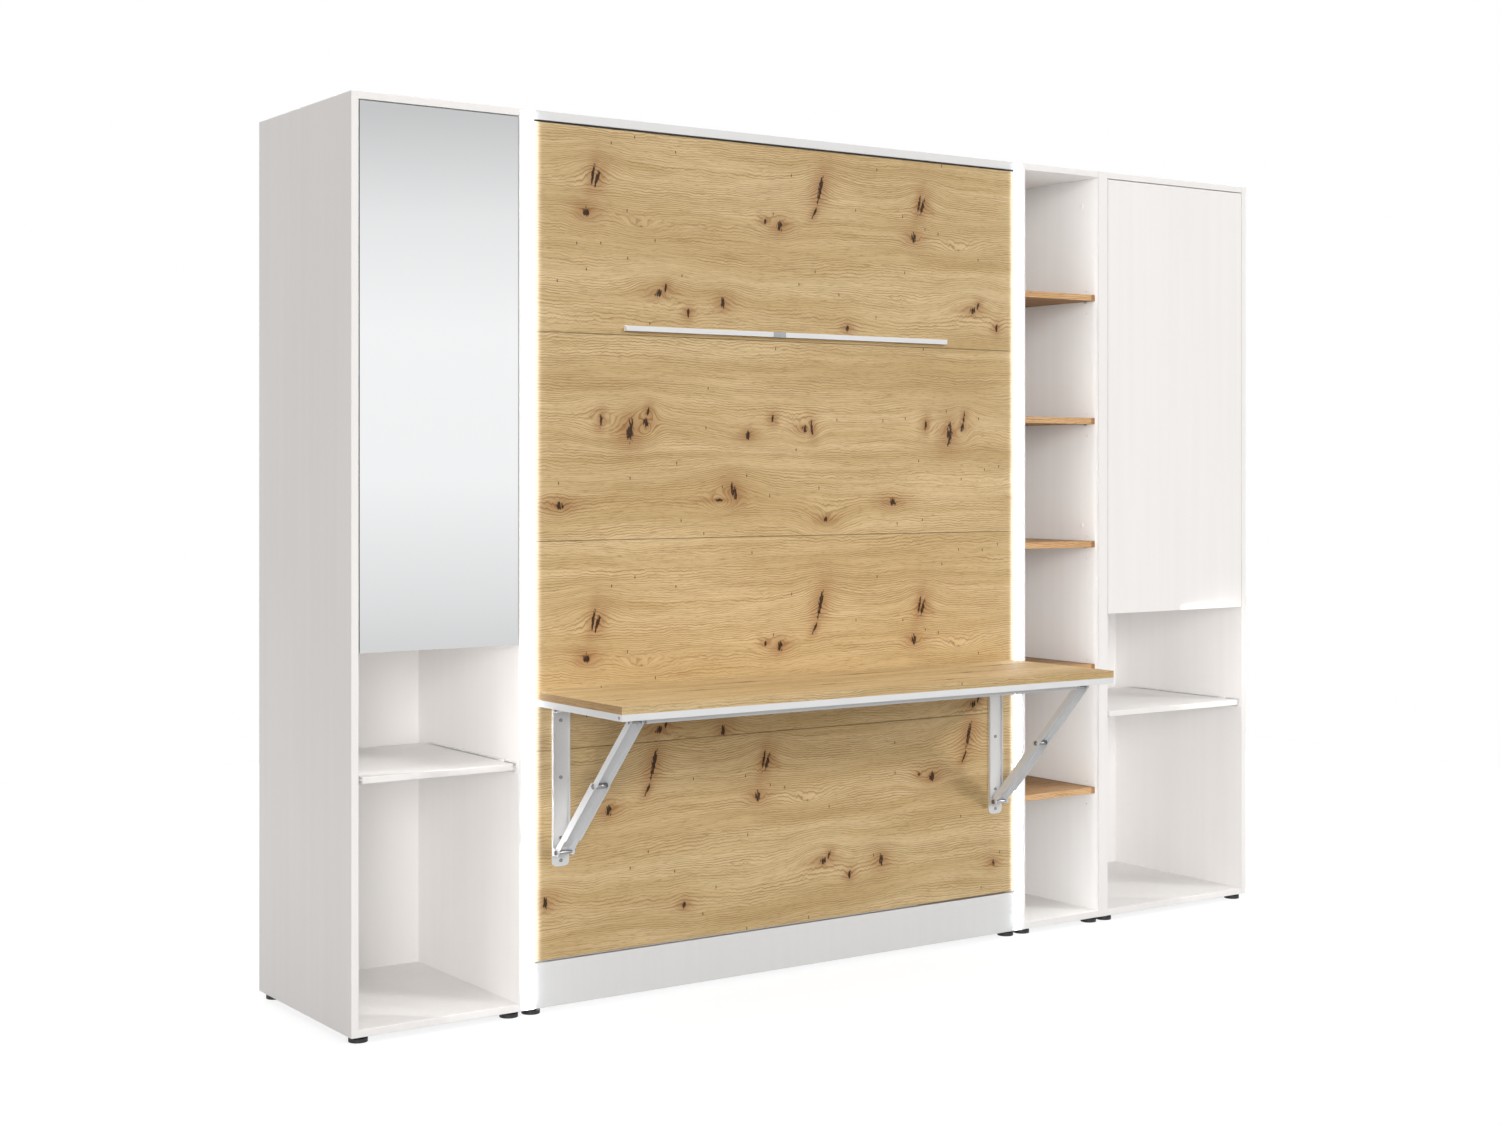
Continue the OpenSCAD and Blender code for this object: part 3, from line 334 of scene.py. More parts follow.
print("wood group with", len(tree.nodes), "nodes")

# %% [markdown]
# ## Laying out the knots
# The front's decor repeats every metre or so, and each board shows another cut
# of it. So the knots are listed once, on the sheet that the boards are cut from,
# and every board has only its shift on that sheet. Each knot is its place on the
# sheet, its core's half width and half height, the reach over which the lines
# bend, how far they part, how far they lift, and how much the core leans.

# %% Knots on the sheet of decor
CORE_SCALE = 1.25
SHEET_W = 1027 * MM
SHEET_START = -7 * MM
SECOND_CUT = 700
KNOTS = [  # x, z, core w, core h, reach w, reach h, part, lift, lean
    (161, 388, 3, 21, 80, 62, 0.6, -30, 0.2), (173, 382, 4, 16, 50, 40, 0.3, 0, 0.3),
    (142, 297, 6, 10, 46, 32, 1.2, 8, 0.0), (300, 272, 1, 1, 105, 26, 0.0, 34, 0.0),
    (853, 404, 5, 26, 82, 70, 0.6, -30, 0.25), (836, 344, 3, 12, 50, 40, 0.4, 0, 0.5),
    (722, 299, 6, 10, 80, 40, 0.7, 16, 0.0), (676, 308, 3, 5, 60, 30, 0.4, 12, 0.0),
    (352, 108, 7, 7, 100, 60, 0.7, -34, 0.3), (372, 122, 3, 8, 40, 40, 0.2, 0, 0.2),
    (439, 62, 3, 9, 50, 30, 0.5, 8, 0.1), (545, 90, 5, 11, 70, 50, 0.7, -20, 0.0),
    (943, 42, 4, 7, 38, 34, 0.6, -10, 0.0),
    (184, 994, 3, 13, 60, 45, 1.3, 6, 0.1), (268, 970, 7, 22, 66, 50, 0.9, 12, 0.1),
    (314, 990, 5, 9, 34, 40, 1.2, 10, 0.0), (320, 1016, 3, 10, 60, 50, 0.3, -26, 0.1),
    (622, 961, 5, 8, 130, 30, 0.3, 34, 0.0), (700, 1004, 3, 9, 40, 30, 0.3, 0, 0.1),
    (804, 979, 6, 7, 56, 44, 0.8, 42, 0.0), (826, 981, 3, 15, 40, 40, 0.2, 0, -0.1),
    (578, 817, 6, 15, 90, 60, 0.6, -30, -0.3), (534, 795, 10, 3, 42, 32, 0.6, 34, 0.0),
    (872, 742, 5, 5, 73, 60, 0.4, 44, 0.0), (69, 787, 8, 8, 38, 36, 0.7, 10, 0.0),
]
BOARD_CUTS = [(516, -45), (-1, 80), (0, SECOND_CUT), (0, 0)]  # shift of each board
print(len(KNOTS), "knots on a sheet", SHEET_W, "m long")


# %% From a place on the boards to a place on the sheet
# How wide the painted shade along the boards' seams is.
SEAM = 2.2 * MM


def cut_point(tree, point):
    """The place on the sheet for a place on the front boards, and painted shade along the
    boards' seams.
    """
    low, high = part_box("front_boards")
    pitch = (high.z - low.z) / len(BOARD_CUTS)
    parts = split(tree, vector(tree, "SUBTRACT", point, (low.x, 0, low.z)))
    board = calc(tree, "FLOOR", calc(tree, "DIVIDE", parts["Z"], pitch))
    in_board = calc(tree, "SUBTRACT", parts["Z"], calc(tree, "MULTIPLY", board, pitch))
    off_middle = calc(tree, "ABSOLUTE", calc(tree, "SUBTRACT", in_board, pitch / 2))
    # Painted shade along the seams, where the boards' eased edges meet.
    seam = remap(tree, off_middle, pitch / 2 - SEAM, pitch / 2 - 0.4 * SEAM, 0.0, 0.35)
    shift = join(tree, parts["X"], parts["Y"], in_board)
    for number, (dx, dz) in enumerate(BOARD_CUTS):
        chosen = calc(tree, "COMPARE", board, float(number), 0.1)
        move = vector(tree, "MULTIPLY", (dx * MM, 0, dz * MM),
                      join(tree, chosen, 0.0, chosen))
        shift = vector(tree, "ADD", shift, move)
    return shift, seam


def wrap(tree, point):
    """The same place on the first sheet, because the decor repeats sideways."""
    parts = split(tree, point)
    x = calc(tree, "WRAP", parts["X"], SHEET_START + SHEET_W, SHEET_START)
    return join(tree, x, 0.0, parts["Z"])


# %% Lines that flow round the knots
PORE_DEPTH = 0.4 * MM
WARP, RIPPLE = 70 * MM, 10 * MM  # how far broad and fine waves move the lines
RAGGED = 2.6  # how uneven a core's edge is, in its own widths


def knotted(tree, point, knots, warp_point):
    """The warped field, the knots' dark cores and their stained surroundings."""
    warp = calc(tree, "SUBTRACT", noise(tree, warp_point, (1.4, 3, 5), 2), 0.5)
    ripple = calc(tree, "SUBTRACT", noise(tree, warp_point, (9, 3, 16), 2), 0.5)
    z = vector(tree, "DOT_PRODUCT", warp_point, (0, 0, 1))
    field = calc(tree, "ADD", calc(tree, "MULTIPLY_ADD", warp, WARP, z),
                 calc(tree, "MULTIPLY", ripple, RIPPLE))
    crumbly = noise(tree, warp_point, (230, 160, 80), 2)
    ragged = calc(tree, "MULTIPLY_ADD", crumbly, 2 * RAGGED, -RAGGED)
    chain = {"Field": field, "Dark": 0.0, "Halo": 0.0}
    for x, z, core_w, core_h, reach_w, reach_h, part, lift, lean in knots:
        made = place_group(tree, knot_group, {
            "Point": point, "Centre": (x * MM, 0, z * MM), "Ragged": ragged,
            "Core": (core_w * CORE_SCALE * MM, 1, core_h * CORE_SCALE * MM),
            "Reach": (reach_w * MM, 1, reach_h * MM),
            "Part": part, "Lift": lift * MM, "Lean": lean, **chain})
        chain = {name: made[name] for name in chain}
    return chain


def finish_wood(tree, shader, point, chain, light, deep, line):
    made = place_group(tree, wood_group, {
        "Point": point, **chain, "Light wood": light, "Deep wood": deep, "Line": line})
    put_on(tree, shader, made, PORE_DEPTH)


# %% [markdown]
# ## Oak of the front
# The boards of the front stand, so the grain's cross direction is Z. The light
# strips beside them are as white as a picture gets, so their light spills over
# the oak's first centimetres: a glow that fades from each edge stands for it.

# %% Front boards
OAK_LIGHT = srgb(220, 195, 150)
OAK_DEEP = srgb(200, 173, 125)
OAK_LINE = srgb(142, 106, 60)
MATT = {"Specular_IOR_Level": 0.2}
EDGE_GLOW = (0.70, 0.68, 0.62)
GLOW_REACH = 26 * MM

oak_front, tree, shader, point = new_material("knotty_oak_front", **MATT)
sheet_point, seam = cut_point(tree, point)
chain = knotted(tree, wrap(tree, sheet_point), KNOTS, sheet_point)
# The seams' painted shade joins the dark of the knots' cores.
chain["Dark"] = calc(tree, "MAXIMUM", chain["Dark"], seam)
finish_wood(tree, shader, sheet_point, chain, OAK_LIGHT, OAK_DEEP, OAK_LINE)
front_low, front_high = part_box("front_boards")
across = split(tree, point)["X"]
from_edge = calc(tree, "MINIMUM", calc(tree, "SUBTRACT", across, front_low.x),
                 calc(tree, "SUBTRACT", front_high.x, across))
lit = calc(tree, "POWER", remap(tree, from_edge, 0.0, GLOW_REACH, 1.0, 0.0), 2.0)
connect(tree, blend_colours(tree, lit, (0, 0, 0), EDGE_GLOW),
        shader.inputs["Emission Color"])
shader.inputs["Emission Strength"].default_value = 1.0
print(oak_front.name, "glows over", round(GLOW_REACH / MM), "mm beside the strips")

# %% [markdown]
# ## Oak that lies flat
# The desk and the shelves lie, so their cross direction is Y, and on a front edge
# it is Z. The desk's two ends are cut across the grain and look darker. The open
# shelves are a warmer oak without large knots. Their undersides are darker, which
# is painted shade, and a band at their right end is darker too.

# %% Desk
def lying(tree, parts):
    """The place in a board that lies flat: X along the grain, then Z is across it."""
    on_edge = calc(tree, "GREATER_THAN", calc(tree, "ABSOLUTE", facing(tree)["Y"]), 0.7)
    return blend_colours(tree, on_edge, join(tree, parts["X"], parts["Z"], parts["Y"]),
                         join(tree, parts["X"], parts["Y"], parts["Z"]))


END_LIGHT, END_DEEP = srgb(184, 154, 112), srgb(166, 135, 94)
DESK_KNOTS = [  # the same columns as above, from the desk's front left corner
    (553, 309, 16, 4, 80, 26, 0.7, 2, 0.0), (911, 317, 18, 4, 90, 26, 0.7, 2, 0.0),
    (350, 212, 14, 3, 70, 24, 0.6, 2, 0.0), (696, 148, 20, 3, 90, 24, 0.6, 2, 0.0),
    (1180, 190, 16, 4, 90, 26, 0.7, 2, 0.0), (74, 129, 10, 3, 60, 22, 0.5, 1, 0.0),
    (1020, 70, 14, 3, 70, 20, 0.5, 1, 0.0), (1380, 300, 18, 4, 80, 24, 0.6, 2, 0.0),
]
oak_desk, tree, shader, point = new_material("knotty_oak_desk", **MATT)
desk_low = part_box("desk_top")[0]
parts = split(tree, vector(tree, "SUBTRACT", point, tuple(desk_low)))
at_end = calc(tree, "GREATER_THAN", calc(tree, "ABSOLUTE", facing(tree)["X"]), 0.7)
desk_point = blend_colours(tree, at_end, lying(tree, parts),
                           join(tree, parts["Y"], parts["X"], parts["Z"]))
flat_point = join(tree, parts["X"], 0.0, parts["Y"])
chain = knotted(tree, flat_point, DESK_KNOTS, desk_point)
finish_wood(tree, shader, desk_point, chain,
            blend_colours(tree, at_end, OAK_LIGHT, END_LIGHT),
            blend_colours(tree, at_end, OAK_DEEP, END_DEEP), OAK_LINE)
print(len(DESK_KNOTS), "knots on the desk")

# %% Open shelves
WARM_LIGHT, WARM_DEEP, WARM_LINE = srgb(190, 154, 112), srgb(170, 131, 89), srgb(112, 76, 44)
SHADE_BAND_LIGHT, SHADE_BAND_DEEP = srgb(160, 122, 82), srgb(142, 104, 66)
END_BAND_WIDTH = 14 * MM

oak_shelf, tree, shader, point = new_material("warm_oak", **MATT)
parts = split(tree, point)
shelf_point = lying(tree, parts)
chain = knotted(tree, shelf_point, [], shelf_point)
# Painted shade: the undersides take the darker oak, and so does a band at the right end.
painted_underside_shade = calc(tree, "LESS_THAN", facing(tree)["Z"], -0.7)
at_band = calc(tree, "GREATER_THAN", parts["X"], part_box("oak_shelves")[1].x - END_BAND_WIDTH)
shade_and_band = calc(tree, "MAXIMUM", painted_underside_shade, at_band)
finish_wood(tree, shader, shelf_point, chain,
            blend_colours(tree, shade_and_band, WARM_LIGHT, SHADE_BAND_LIGHT),
            blend_colours(tree, shade_and_band, WARM_DEEP, SHADE_BAND_DEEP), WARM_LINE)
print("oak finishes:", oak_front.name, oak_desk.name, oak_shelf.name)

# %% [markdown]
# ## White melamine
# The cabinets are chipboard with a matt white melamine face. It isn't perfectly
# even: the press leaves faint upright streaks and a very fine pebbled skin.

# %% Melamine skin, as a node group
skin_group, given, result = new_group(
    "pressed_skin", {"Point": "Vector", "Bright": "Color", "Dull": "Color"},
    {"Colour": "Color", "Roughness": "Float", "Height": "Float"})
tree = skin_group
streak = noise(tree, given["Point"], (38, 38, 1.2), 3)
cloud = noise(tree, given["Point"], (5, 5, 1.5), 1)
tone = calc(tree, "ADD", calc(tree, "MULTIPLY", streak, 0.6),
            calc(tree, "MULTIPLY", cloud, 0.4))
connect(tree, blend_colours(tree, remap(tree, tone, 0.35, 0.65), given["Bright"],
                            given["Dull"]), result["Colour"])
pebble = noise(tree, given["Point"], (700, 700, 700), 2)
connect(tree, remap(tree, cloud, 0.3, 0.7, 0.42, 0.5), result["Roughness"])
connect(tree, pebble, result["Height"])
print("melamine skin with", len(tree.nodes), "nodes")


# %% Melamine finishes
def melamine(name, bright, dull):
    material, tree, shader, point = new_material(name)
    made = place_group(tree, skin_group, {"Point": point, "Bright": bright, "Dull": dull})
    put_on(tree, shader, made, 0.04 * MM)
    return material


white_board = melamine("white_melamine", (0.925, 0.912, 0.902), (0.903, 0.890, 0.880))
# The bed's top board and plinth are the same white, set greyer: painted shade.
shaded_white_board = melamine("melamine_painted_shade", (0.765, 0.775, 0.775), (0.75, 0.76, 0.76))
panel_board = melamine("lacquered_panel", (0.915, 0.902, 0.892), (0.905, 0.892, 0.882))
print("melamine finishes:", white_board.name, shaded_white_board.name, panel_board.name)

# %% [markdown]
# ## Painted, plated and rolled metal
# The bed frame and the brackets are powder coated: the powder melts into a skin
# with a slight orange peel. Pins, plates and hinges are zinc plated, and the
# light profiles are rolled aluminium. One group gives the fine relief of all of
# them, with its own pattern size and its own stretch along the metal.

# %% Metal skin, as a node group
metal_group, given, result = new_group(
    "metal_skin", {"Point": "Vector", "Pattern": "Vector", "Bright": "Color",
                   "Dull": "Color", "Smooth": "Float", "Rough": "Float"},
    {"Colour": "Color", "Roughness": "Float", "Height": "Float"})
tree = metal_group
fine = add(tree, "ShaderNodeTexNoise",
           {"Vector": vector(tree, "MULTIPLY", given["Point"], given["Pattern"]),
            "Scale": 1.0, "Detail": 2.0}).outputs[0]
broad = noise(tree, given["Point"], (14, 14, 14), 2)
tone = calc(tree, "ADD", calc(tree, "MULTIPLY", fine, 0.5),
            calc(tree, "MULTIPLY", broad, 0.5))
connect(tree, blend_colours(tree, remap(tree, tone, 0.35, 0.65), given["Bright"],
                            given["Dull"]), result["Colour"])
spread = add(tree, "ShaderNodeMapRange",
             {"Value": tone, "From Min": 0.35, "From Max": 0.65,
              "To Min": given["Smooth"], "To Max": given["Rough"]})
connect(tree, spread.outputs["Result"], result["Roughness"])
connect(tree, fine, result["Height"])
print("metal skin with", len(tree.nodes), "nodes")


# %% Metal finishes
def metal(name, metallic, bright, dull, pattern, smooth, rough, peel):
    """A metal: pattern is how fine the relief is each way, peel how deep, in mm."""
    material, tree, shader, point = new_material(name, Metallic=metallic)
    made = place_group(tree, metal_group,
                       {"Point": point, "Pattern": pattern, "Bright": bright,
                        "Dull": dull, "Smooth": smooth, "Rough": rough})
    put_on(tree, shader, made, peel * MM)
    return material


EVEN = (420, 420, 420)
white_steel = metal("coated_white_steel", 0.0, (0.77, 0.785, 0.80), (0.74, 0.755, 0.77),
                    EVEN, 0.32, 0.42, 0.08)
strip_steel = metal("coated_strip_steel", 0.0, (0.66, 0.67, 0.675), (0.63, 0.64, 0.65),
                    EVEN, 0.32, 0.42, 0.08)
# The runners are the same white steel set brighter: painted light that lifts them out of the
# bays' shade.
painted_light_runner_coat = metal("runner_coat_painted_light", 0.0, (0.88, 0.875, 0.87), (0.86, 0.855, 0.85),
                     EVEN, 0.3, 0.4, 0.05)
grey_steel = metal("coated_grey_steel", 0.0, (0.30, 0.31, 0.32), (0.26, 0.27, 0.28),
                   EVEN, 0.4, 0.5, 0.1)
zinc_steel = metal("zinc_plate", 1.0, (0.74, 0.74, 0.73), (0.58, 0.59, 0.60),
                   (160, 160, 160), 0.26, 0.42, 0.04)
rod_chrome = metal("polished_rod", 1.0, (0.86, 0.86, 0.87), (0.80, 0.80, 0.81),
                   (20, 700, 700), 0.08, 0.14, 0.01)
black_steel = metal("coated_black_steel", 0.0, (0.03, 0.03, 0.032), (0.022, 0.022, 0.024),
                    EVEN, 0.3, 0.4, 0.05)
pin_steel = metal("burnished_pin", 1.0, (0.33, 0.33, 0.34), (0.22, 0.22, 0.23),
                  (300, 300, 300), 0.28, 0.40, 0.04)
rolled_alu = metal("rolled_aluminium", 1.0, (0.80, 0.80, 0.81), (0.70, 0.70, 0.71),
                   (900, 900, 6), 0.28, 0.38, 0.03)
print("metal finishes:", ", ".join(m.name for m in (
    white_steel, strip_steel, painted_light_runner_coat, grey_steel, zinc_steel, rod_chrome,
    black_steel, pin_steel, rolled_alu)))

# %% [markdown]
# ## Mirror, light strip, plastics and rubber
# The mirror is float glass silvered on its back, so a sharp metal with a faint
# green edge does. The light strip's opal cover glows: its face only has to read
# as white, but its narrow sides throw the glow onto the oak, so they shine
# harder. The mask for that is the surface's own direction.

# %% Mirror glass
mirror_glass, tree, shader, point = new_material("silvered_glass", Metallic=1.0)
silvered = calc(tree, "GREATER_THAN", calc(tree, "ABSOLUTE", facing(tree)["Y"]), 0.7)
haze = noise(tree, point, (9, 9, 9), 3)
connect(tree, blend_colours(tree, silvered, (0.35, 0.48, 0.44), (0.93, 0.935, 0.935)),
        shader.inputs["Base Color"])
connect(tree, remap(tree, haze, 0.3, 0.8, 0.015, 0.04), shader.inputs["Roughness"])
print(mirror_glass.name, "is silver in front and green at its edge")

# %% Opal light strip
LIT_FACE = 1.25
LIT_SIDE = 30.0
led_opal, tree, shader, point = new_material("opal_cover", Base_Color=(0.9, 0.9, 0.88))
sideways = calc(tree, "ABSOLUTE", facing(tree)["X"])
glow = remap(tree, sideways, 0.3, 0.9, LIT_FACE, LIT_SIDE)
warm_white = blend_colours(tree, sideways, (1.0, 1.0, 1.0), (0.86, 0.96, 1.12))
milk = noise(tree, point, (30, 30, 3), 2)
connect(tree, remap(tree, milk, 0.3, 0.7, 0.35, 0.5), shader.inputs["Roughness"])
connect(tree, blend_colours(tree, 1.0, warm_white,
                            join(tree, glow, glow, glow), "MULTIPLY"),
        shader.inputs["Emission Color"])
shader.inputs["Emission Strength"].default_value = 1.0
print(led_opal.name, "shines", LIT_FACE, "ahead and", LIT_SIDE, "sideways")


# %% Plastics and rubber
def moulded(name, bright, dull, smooth, rough, grain_size, grain_depth):
    """A moulded skin: its grain's depth is in mm."""
    material, tree, shader, point = new_material(name)
    cloud = noise(tree, point, (grain_size / 20,) * 3, 2)
    fine = noise(tree, point, (grain_size,) * 3, 2)
    connect(tree, blend_colours(tree, remap(tree, cloud, 0.35, 0.65), bright, dull),
            shader.inputs["Base Color"])
    connect(tree, remap(tree, cloud, 0.3, 0.7, smooth, rough), shader.inputs["Roughness"])
    relief(tree, shader, fine, grain_depth * MM)
    return material


grey_plastic = moulded("moulded_grey", (0.40, 0.42, 0.43), (0.36, 0.38, 0.39),
                       0.35, 0.45, 900, 0.04)
white_plastic = moulded("moulded_white", (0.90, 0.89, 0.88), (0.87, 0.86, 0.85),
                        0.35, 0.45, 900, 0.03)
black_plastic = moulded("moulded_black", (0.010, 0.010, 0.011), (0.006, 0.006, 0.007),
                        0.42, 0.55, 800, 0.06)
black_rubber = moulded("soft_rubber", (0.03, 0.03, 0.03), (0.02, 0.02, 0.02),
                       0.65, 0.8, 600, 0.08)
print("moulded finishes:", ", ".join(m.name for m in (
    grey_plastic, white_plastic, black_plastic, black_rubber)))

# %% [markdown]
# ## Birch slats
# A sprung slat is birch plywood: one pale veneer on each face, and thin layers
# that show on its edges as light and dark lines. The lines are a wave across the
# slat's thickness, shown only where the surface doesn't face front or back.

# %% Birch plywood
PLY = 1.4 * MM
birch_slat, tree, shader, point = new_material("birch_ply")
parts = split(tree, point)
fibre = noise(tree, point, (5, 200, 260), 3)
face_colour = blend_colours(tree, remap(tree, fibre, 0.3, 0.7), srgb(229, 208, 170),
                            srgb(205, 176, 130))
layer = calc(tree, "SINE", calc(tree, "MULTIPLY", parts["Y"], math.pi / PLY))
edge_colour = blend_colours(tree, remap(tree, layer, -0.3, 0.3), srgb(214, 186, 142),
                            srgb(150, 110, 68))
on_veneer = calc(tree, "GREATER_THAN", calc(tree, "ABSOLUTE", facing(tree)["Y"]), 0.5)
connect(tree, blend_colours(tree, on_veneer, edge_colour, face_colour),
        shader.inputs["Base Color"])
connect(tree, remap(tree, fibre, 0.2, 0.8, 0.35, 0.5), shader.inputs["Roughness"])
relief(tree, shader, fibre, 0.1 * MM)
print("plywood layers every", PLY, "m")

# %% [markdown]
# ## Finishes for the construction pieces
# The construction's own meshes are right where the real piece is a plain board,
# tube or pin. They keep their shape and only get a finish and, on the boards, a
# rounded arris: Weld joins the corners and Bevel rounds them, as live modifiers.

# %% Give each construction piece its finish
FINISHES = {
    white_board: [n for n in nodes if n.startswith(("wardrobe_", "shelving_", "cupboard_"))
                  and n.endswith(("_side", "_top", "_bottom", "_mid_shelf", "_door",
                                  "_pullout_shelf", "_inner_shelves"))]
    + ["bed_left_side", "bed_right_side", "bed_rear_rails"],
    shaded_white_board: ["bed_top_board", "bed_plinth"],
    panel_board: ["wardrobe_back", "shelving_back", "cupboard_back"],
    oak_front: ["front_boards"],
    oak_desk: ["desk_top"],
    oak_shelf: ["oak_shelves"],
    mirror_glass: ["wardrobe_mirror"],
    led_opal: ["led_diffusers"],
    rolled_alu: ["led_profiles"],
    birch_slat: ["bed_slats"],
    white_steel: ["handle_profile", "desk_frame", "desk_lower_struts",
                  "desk_upper_struts"],
    strip_steel: ["desk_wall_strips"],
    painted_light_runner_coat: ["runner_rails", "wardrobe_runner_slides", "cupboard_runner_slides"],
    grey_steel: ["bed_frame", "foot_leg"],
    zinc_steel: ["hanging_rail", "bed_pivot_plates", "shelf_pins", "door_hinge_arms",
                 "wardrobe_hinge_cups", "cupboard_hinge_cups"],
    white_plastic: ["connector_bolts"],
    pin_steel: ["bracket_pins", "desk_pins"],
    rod_chrome: ["gas_rods"],
    black_steel: ["gas_cylinders"],
    grey_plastic: ["handle_clip"],
    black_plastic: ["levelling_feet"],
    black_rubber: ["leg_sleeves"],
}
for material, names in FINISHES.items():
    for name in names:
        nodes[name].data.materials.clear()
        nodes[name].data.materials.append(material)
finished = [name for names in FINISHES.values() for name in names]
print("no finish yet:", sorted(set(nodes) - set(finished)))


# %% Round the arrises of the boards and sheets
def round_arris(name, radius):
    """Rounds the sharp edges of a construction piece, without touching its mesh."""
    weld = nodes[name].modifiers.new("weld", "WELD")
    weld.merge_threshold = 0.02 * MM
    bevel = nodes[name].modifiers.new("arris", "BEVEL")
    bevel.width = radius
    bevel.segments = 2
    bevel.limit_method = "ANGLE"
    bevel.angle_limit = math.radians(60)
    bevel.harden_normals = True


ARRISES = {1.3 * MM: FINISHES[white_board] + FINISHES[shaded_white_board],
           0.8 * MM: ["oak_shelves", "bed_slats", "bracket_pins"],
           0.25 * MM: ["front_boards", "desk_top"],
           0.4 * MM: ["handle_profile", "desk_frame", "led_diffusers"]}
for radius, names in ARRISES.items():
    for name in names:
        round_arris(name, radius)
print("arrises rounded on", sum(map(len, ARRISES.values())), "pieces")

# %% [markdown]
# ## Mattress
# Foam in a knitted cover: its sides pull in a little between the two piped
# edges, and its faces are crowned. A Cloth simulation with inner pressure gives
# the fullness. A sculpted block could do too, but pressure finds the soft bend
# at the corners by itself. It starts as a slightly smaller copy of the space that
# the construction keeps for the mattress.

# %% Cover fabric
weave_group, given, result = new_group(
    "weave", {"Point": "Vector", "Thread": "Float"}, {"Height": "Float", "Tone": "Float"})
tree = weave_group
scaled = add(tree, "ShaderNodeVectorMath", {0: given["Point"]}, operation="SCALE")
connect(tree, calc(tree, "DIVIDE", math.tau, given["Thread"]), scaled.inputs["Scale"])
parts = split(tree, scaled.outputs[0])
waves = [calc(tree, "SINE", parts[axis]) for axis in "XYZ"]
crossed = calc(tree, "MULTIPLY", calc(tree, "ADD", waves[0], waves[1]), waves[2])
connect(tree, remap(tree, crossed, -1.2, 1.2), result["Height"])
connect(tree, noise(tree, given["Point"], (60, 60, 60), 3), result["Tone"])


def cloth(name, bright, dull, thread, depth, sheen):
    """A woven or knitted cloth: thread is the weave's pitch, depth its relief."""
    material, tree, shader, point = new_material(name, Sheen_Weight=sheen)
    made = place_group(tree, weave_group, {"Point": point, "Thread": thread})
    tone = calc(tree, "ADD", calc(tree, "MULTIPLY", made["Tone"], 0.6),
                calc(tree, "MULTIPLY", made["Height"], 0.4))
    connect(tree, blend_colours(tree, remap(tree, tone, 0.3, 0.7), dull, bright),
            shader.inputs["Base Color"])
    connect(tree, remap(tree, made["Tone"], 0.3, 0.7, 0.8, 0.92),
            shader.inputs["Roughness"])
    relief(tree, shader, made["Height"], depth)
    return material


cover_fabric = cloth("mattress_cover", (0.83, 0.82, 0.80), (0.76, 0.75, 0.73),
                     2.4 * MM, 0.6 * MM, 0.2)
piping_fabric = cloth("mattress_piping", (0.52, 0.53, 0.55), (0.45, 0.46, 0.48),
                      1.6 * MM, 0.3 * MM, 0.2)
strap_fabric = cloth("woven_strap", (0.075, 0.075, 0.08), (0.05, 0.05, 0.055),
                     2.0 * MM, 0.4 * MM, 0.1)
print("fabrics:", ", ".join(m.name for m in (cover_fabric, piping_fabric, strap_fabric)))


# %% Helpers for new pieces
def new_object(name, mesh, material, body, smooth=True):
    """A new piece that moves with a body of the construction."""
    made = bpy.data.objects.new(name, mesh)
    scene.collection.objects.link(made)
    mesh.name = name
    mesh.materials.clear()
    mesh.materials.append(material)
    mesh.shade_smooth() if smooth else mesh.shade_flat()
    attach(made, body)
    return made


def held(mesh):
    """An object that holds a mesh for a while, so that a modifier can work on it."""
    holder = bpy.data.objects.new("holder", mesh)
    scene.collection.objects.link(holder)
    return holder


def release(holder):
    """The mesh of a holder with its modifiers applied; the holder goes."""
    graph = bpy.context.evaluated_depsgraph_get()
    mesh = bpy.data.meshes.new_from_object(holder.evaluated_get(graph))
    bpy.data.objects.remove(holder)
    return mesh


def get_points(mesh):
    points = np.empty(len(mesh.vertices) * 3, np.float32)
    mesh.vertices.foreach_get("co", points)
    return points.reshape(-1, 3).astype(float)


def set_points(mesh, points):
    mesh.vertices.foreach_set("co", points.astype(np.float32).ravel())
    mesh.update()


# %% Mattress body
VOXEL = 16 * MM
SHRINK = 6 * MM
SWELL = 7 * MM
PRESSURE = 4
FRAMES = 20
mattress_low, mattress_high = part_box("mattress")
mattress_mid = np.array((mattress_low + mattress_high) / 2)
mattress_half = np.array((mattress_high - mattress_low) / 2)

block_mesh = nodes["mattress"].data.copy()
set_points(block_mesh, mattress_mid + (get_points(block_mesh) - mattress_mid)
           * (1 - SHRINK / mattress_half))
holder = held(block_mesh)
remesh = holder.modifiers.new("voxels", "REMESH")
remesh.mode = "VOXEL"
remesh.voxel_size = VOXEL
body_mesh = release(holder)


def inflate(mesh, pressure, frames, cap):
    """Swells a closed mesh as cloth under pressure, no point further than cap."""
    start = get_points(mesh)
    holder = held(mesh)
    modifier = holder.modifiers.new("cloth", "CLOTH")
    modifier.settings.use_pressure = True
    modifier.settings.uniform_pressure_force = pressure
    modifier.settings.effector_weights.gravity = 0
    modifier.settings.quality = 4
    modifier.point_cache.frame_start = 1
    modifier.point_cache.frame_end = frames
    for number in range(1, frames + 1):
        scene.frame_set(number)
    swollen = release(holder)
    scene.frame_set(1)
    way = get_points(swollen) - start
    length = np.linalg.norm(way, axis=1, keepdims=True)
    set_points(swollen, start + way * np.minimum(1, cap / np.maximum(length, 1e-9)))
    return swollen


body_mesh = inflate(body_mesh, PRESSURE, FRAMES, SWELL)
print("mattress form has", len(body_mesh.vertices), "points")

# %% [markdown]
# The cover is quilted: stitched lines pull the faces down in a lattice. The
# seams come after the simulation, because remeshing would have erased them.

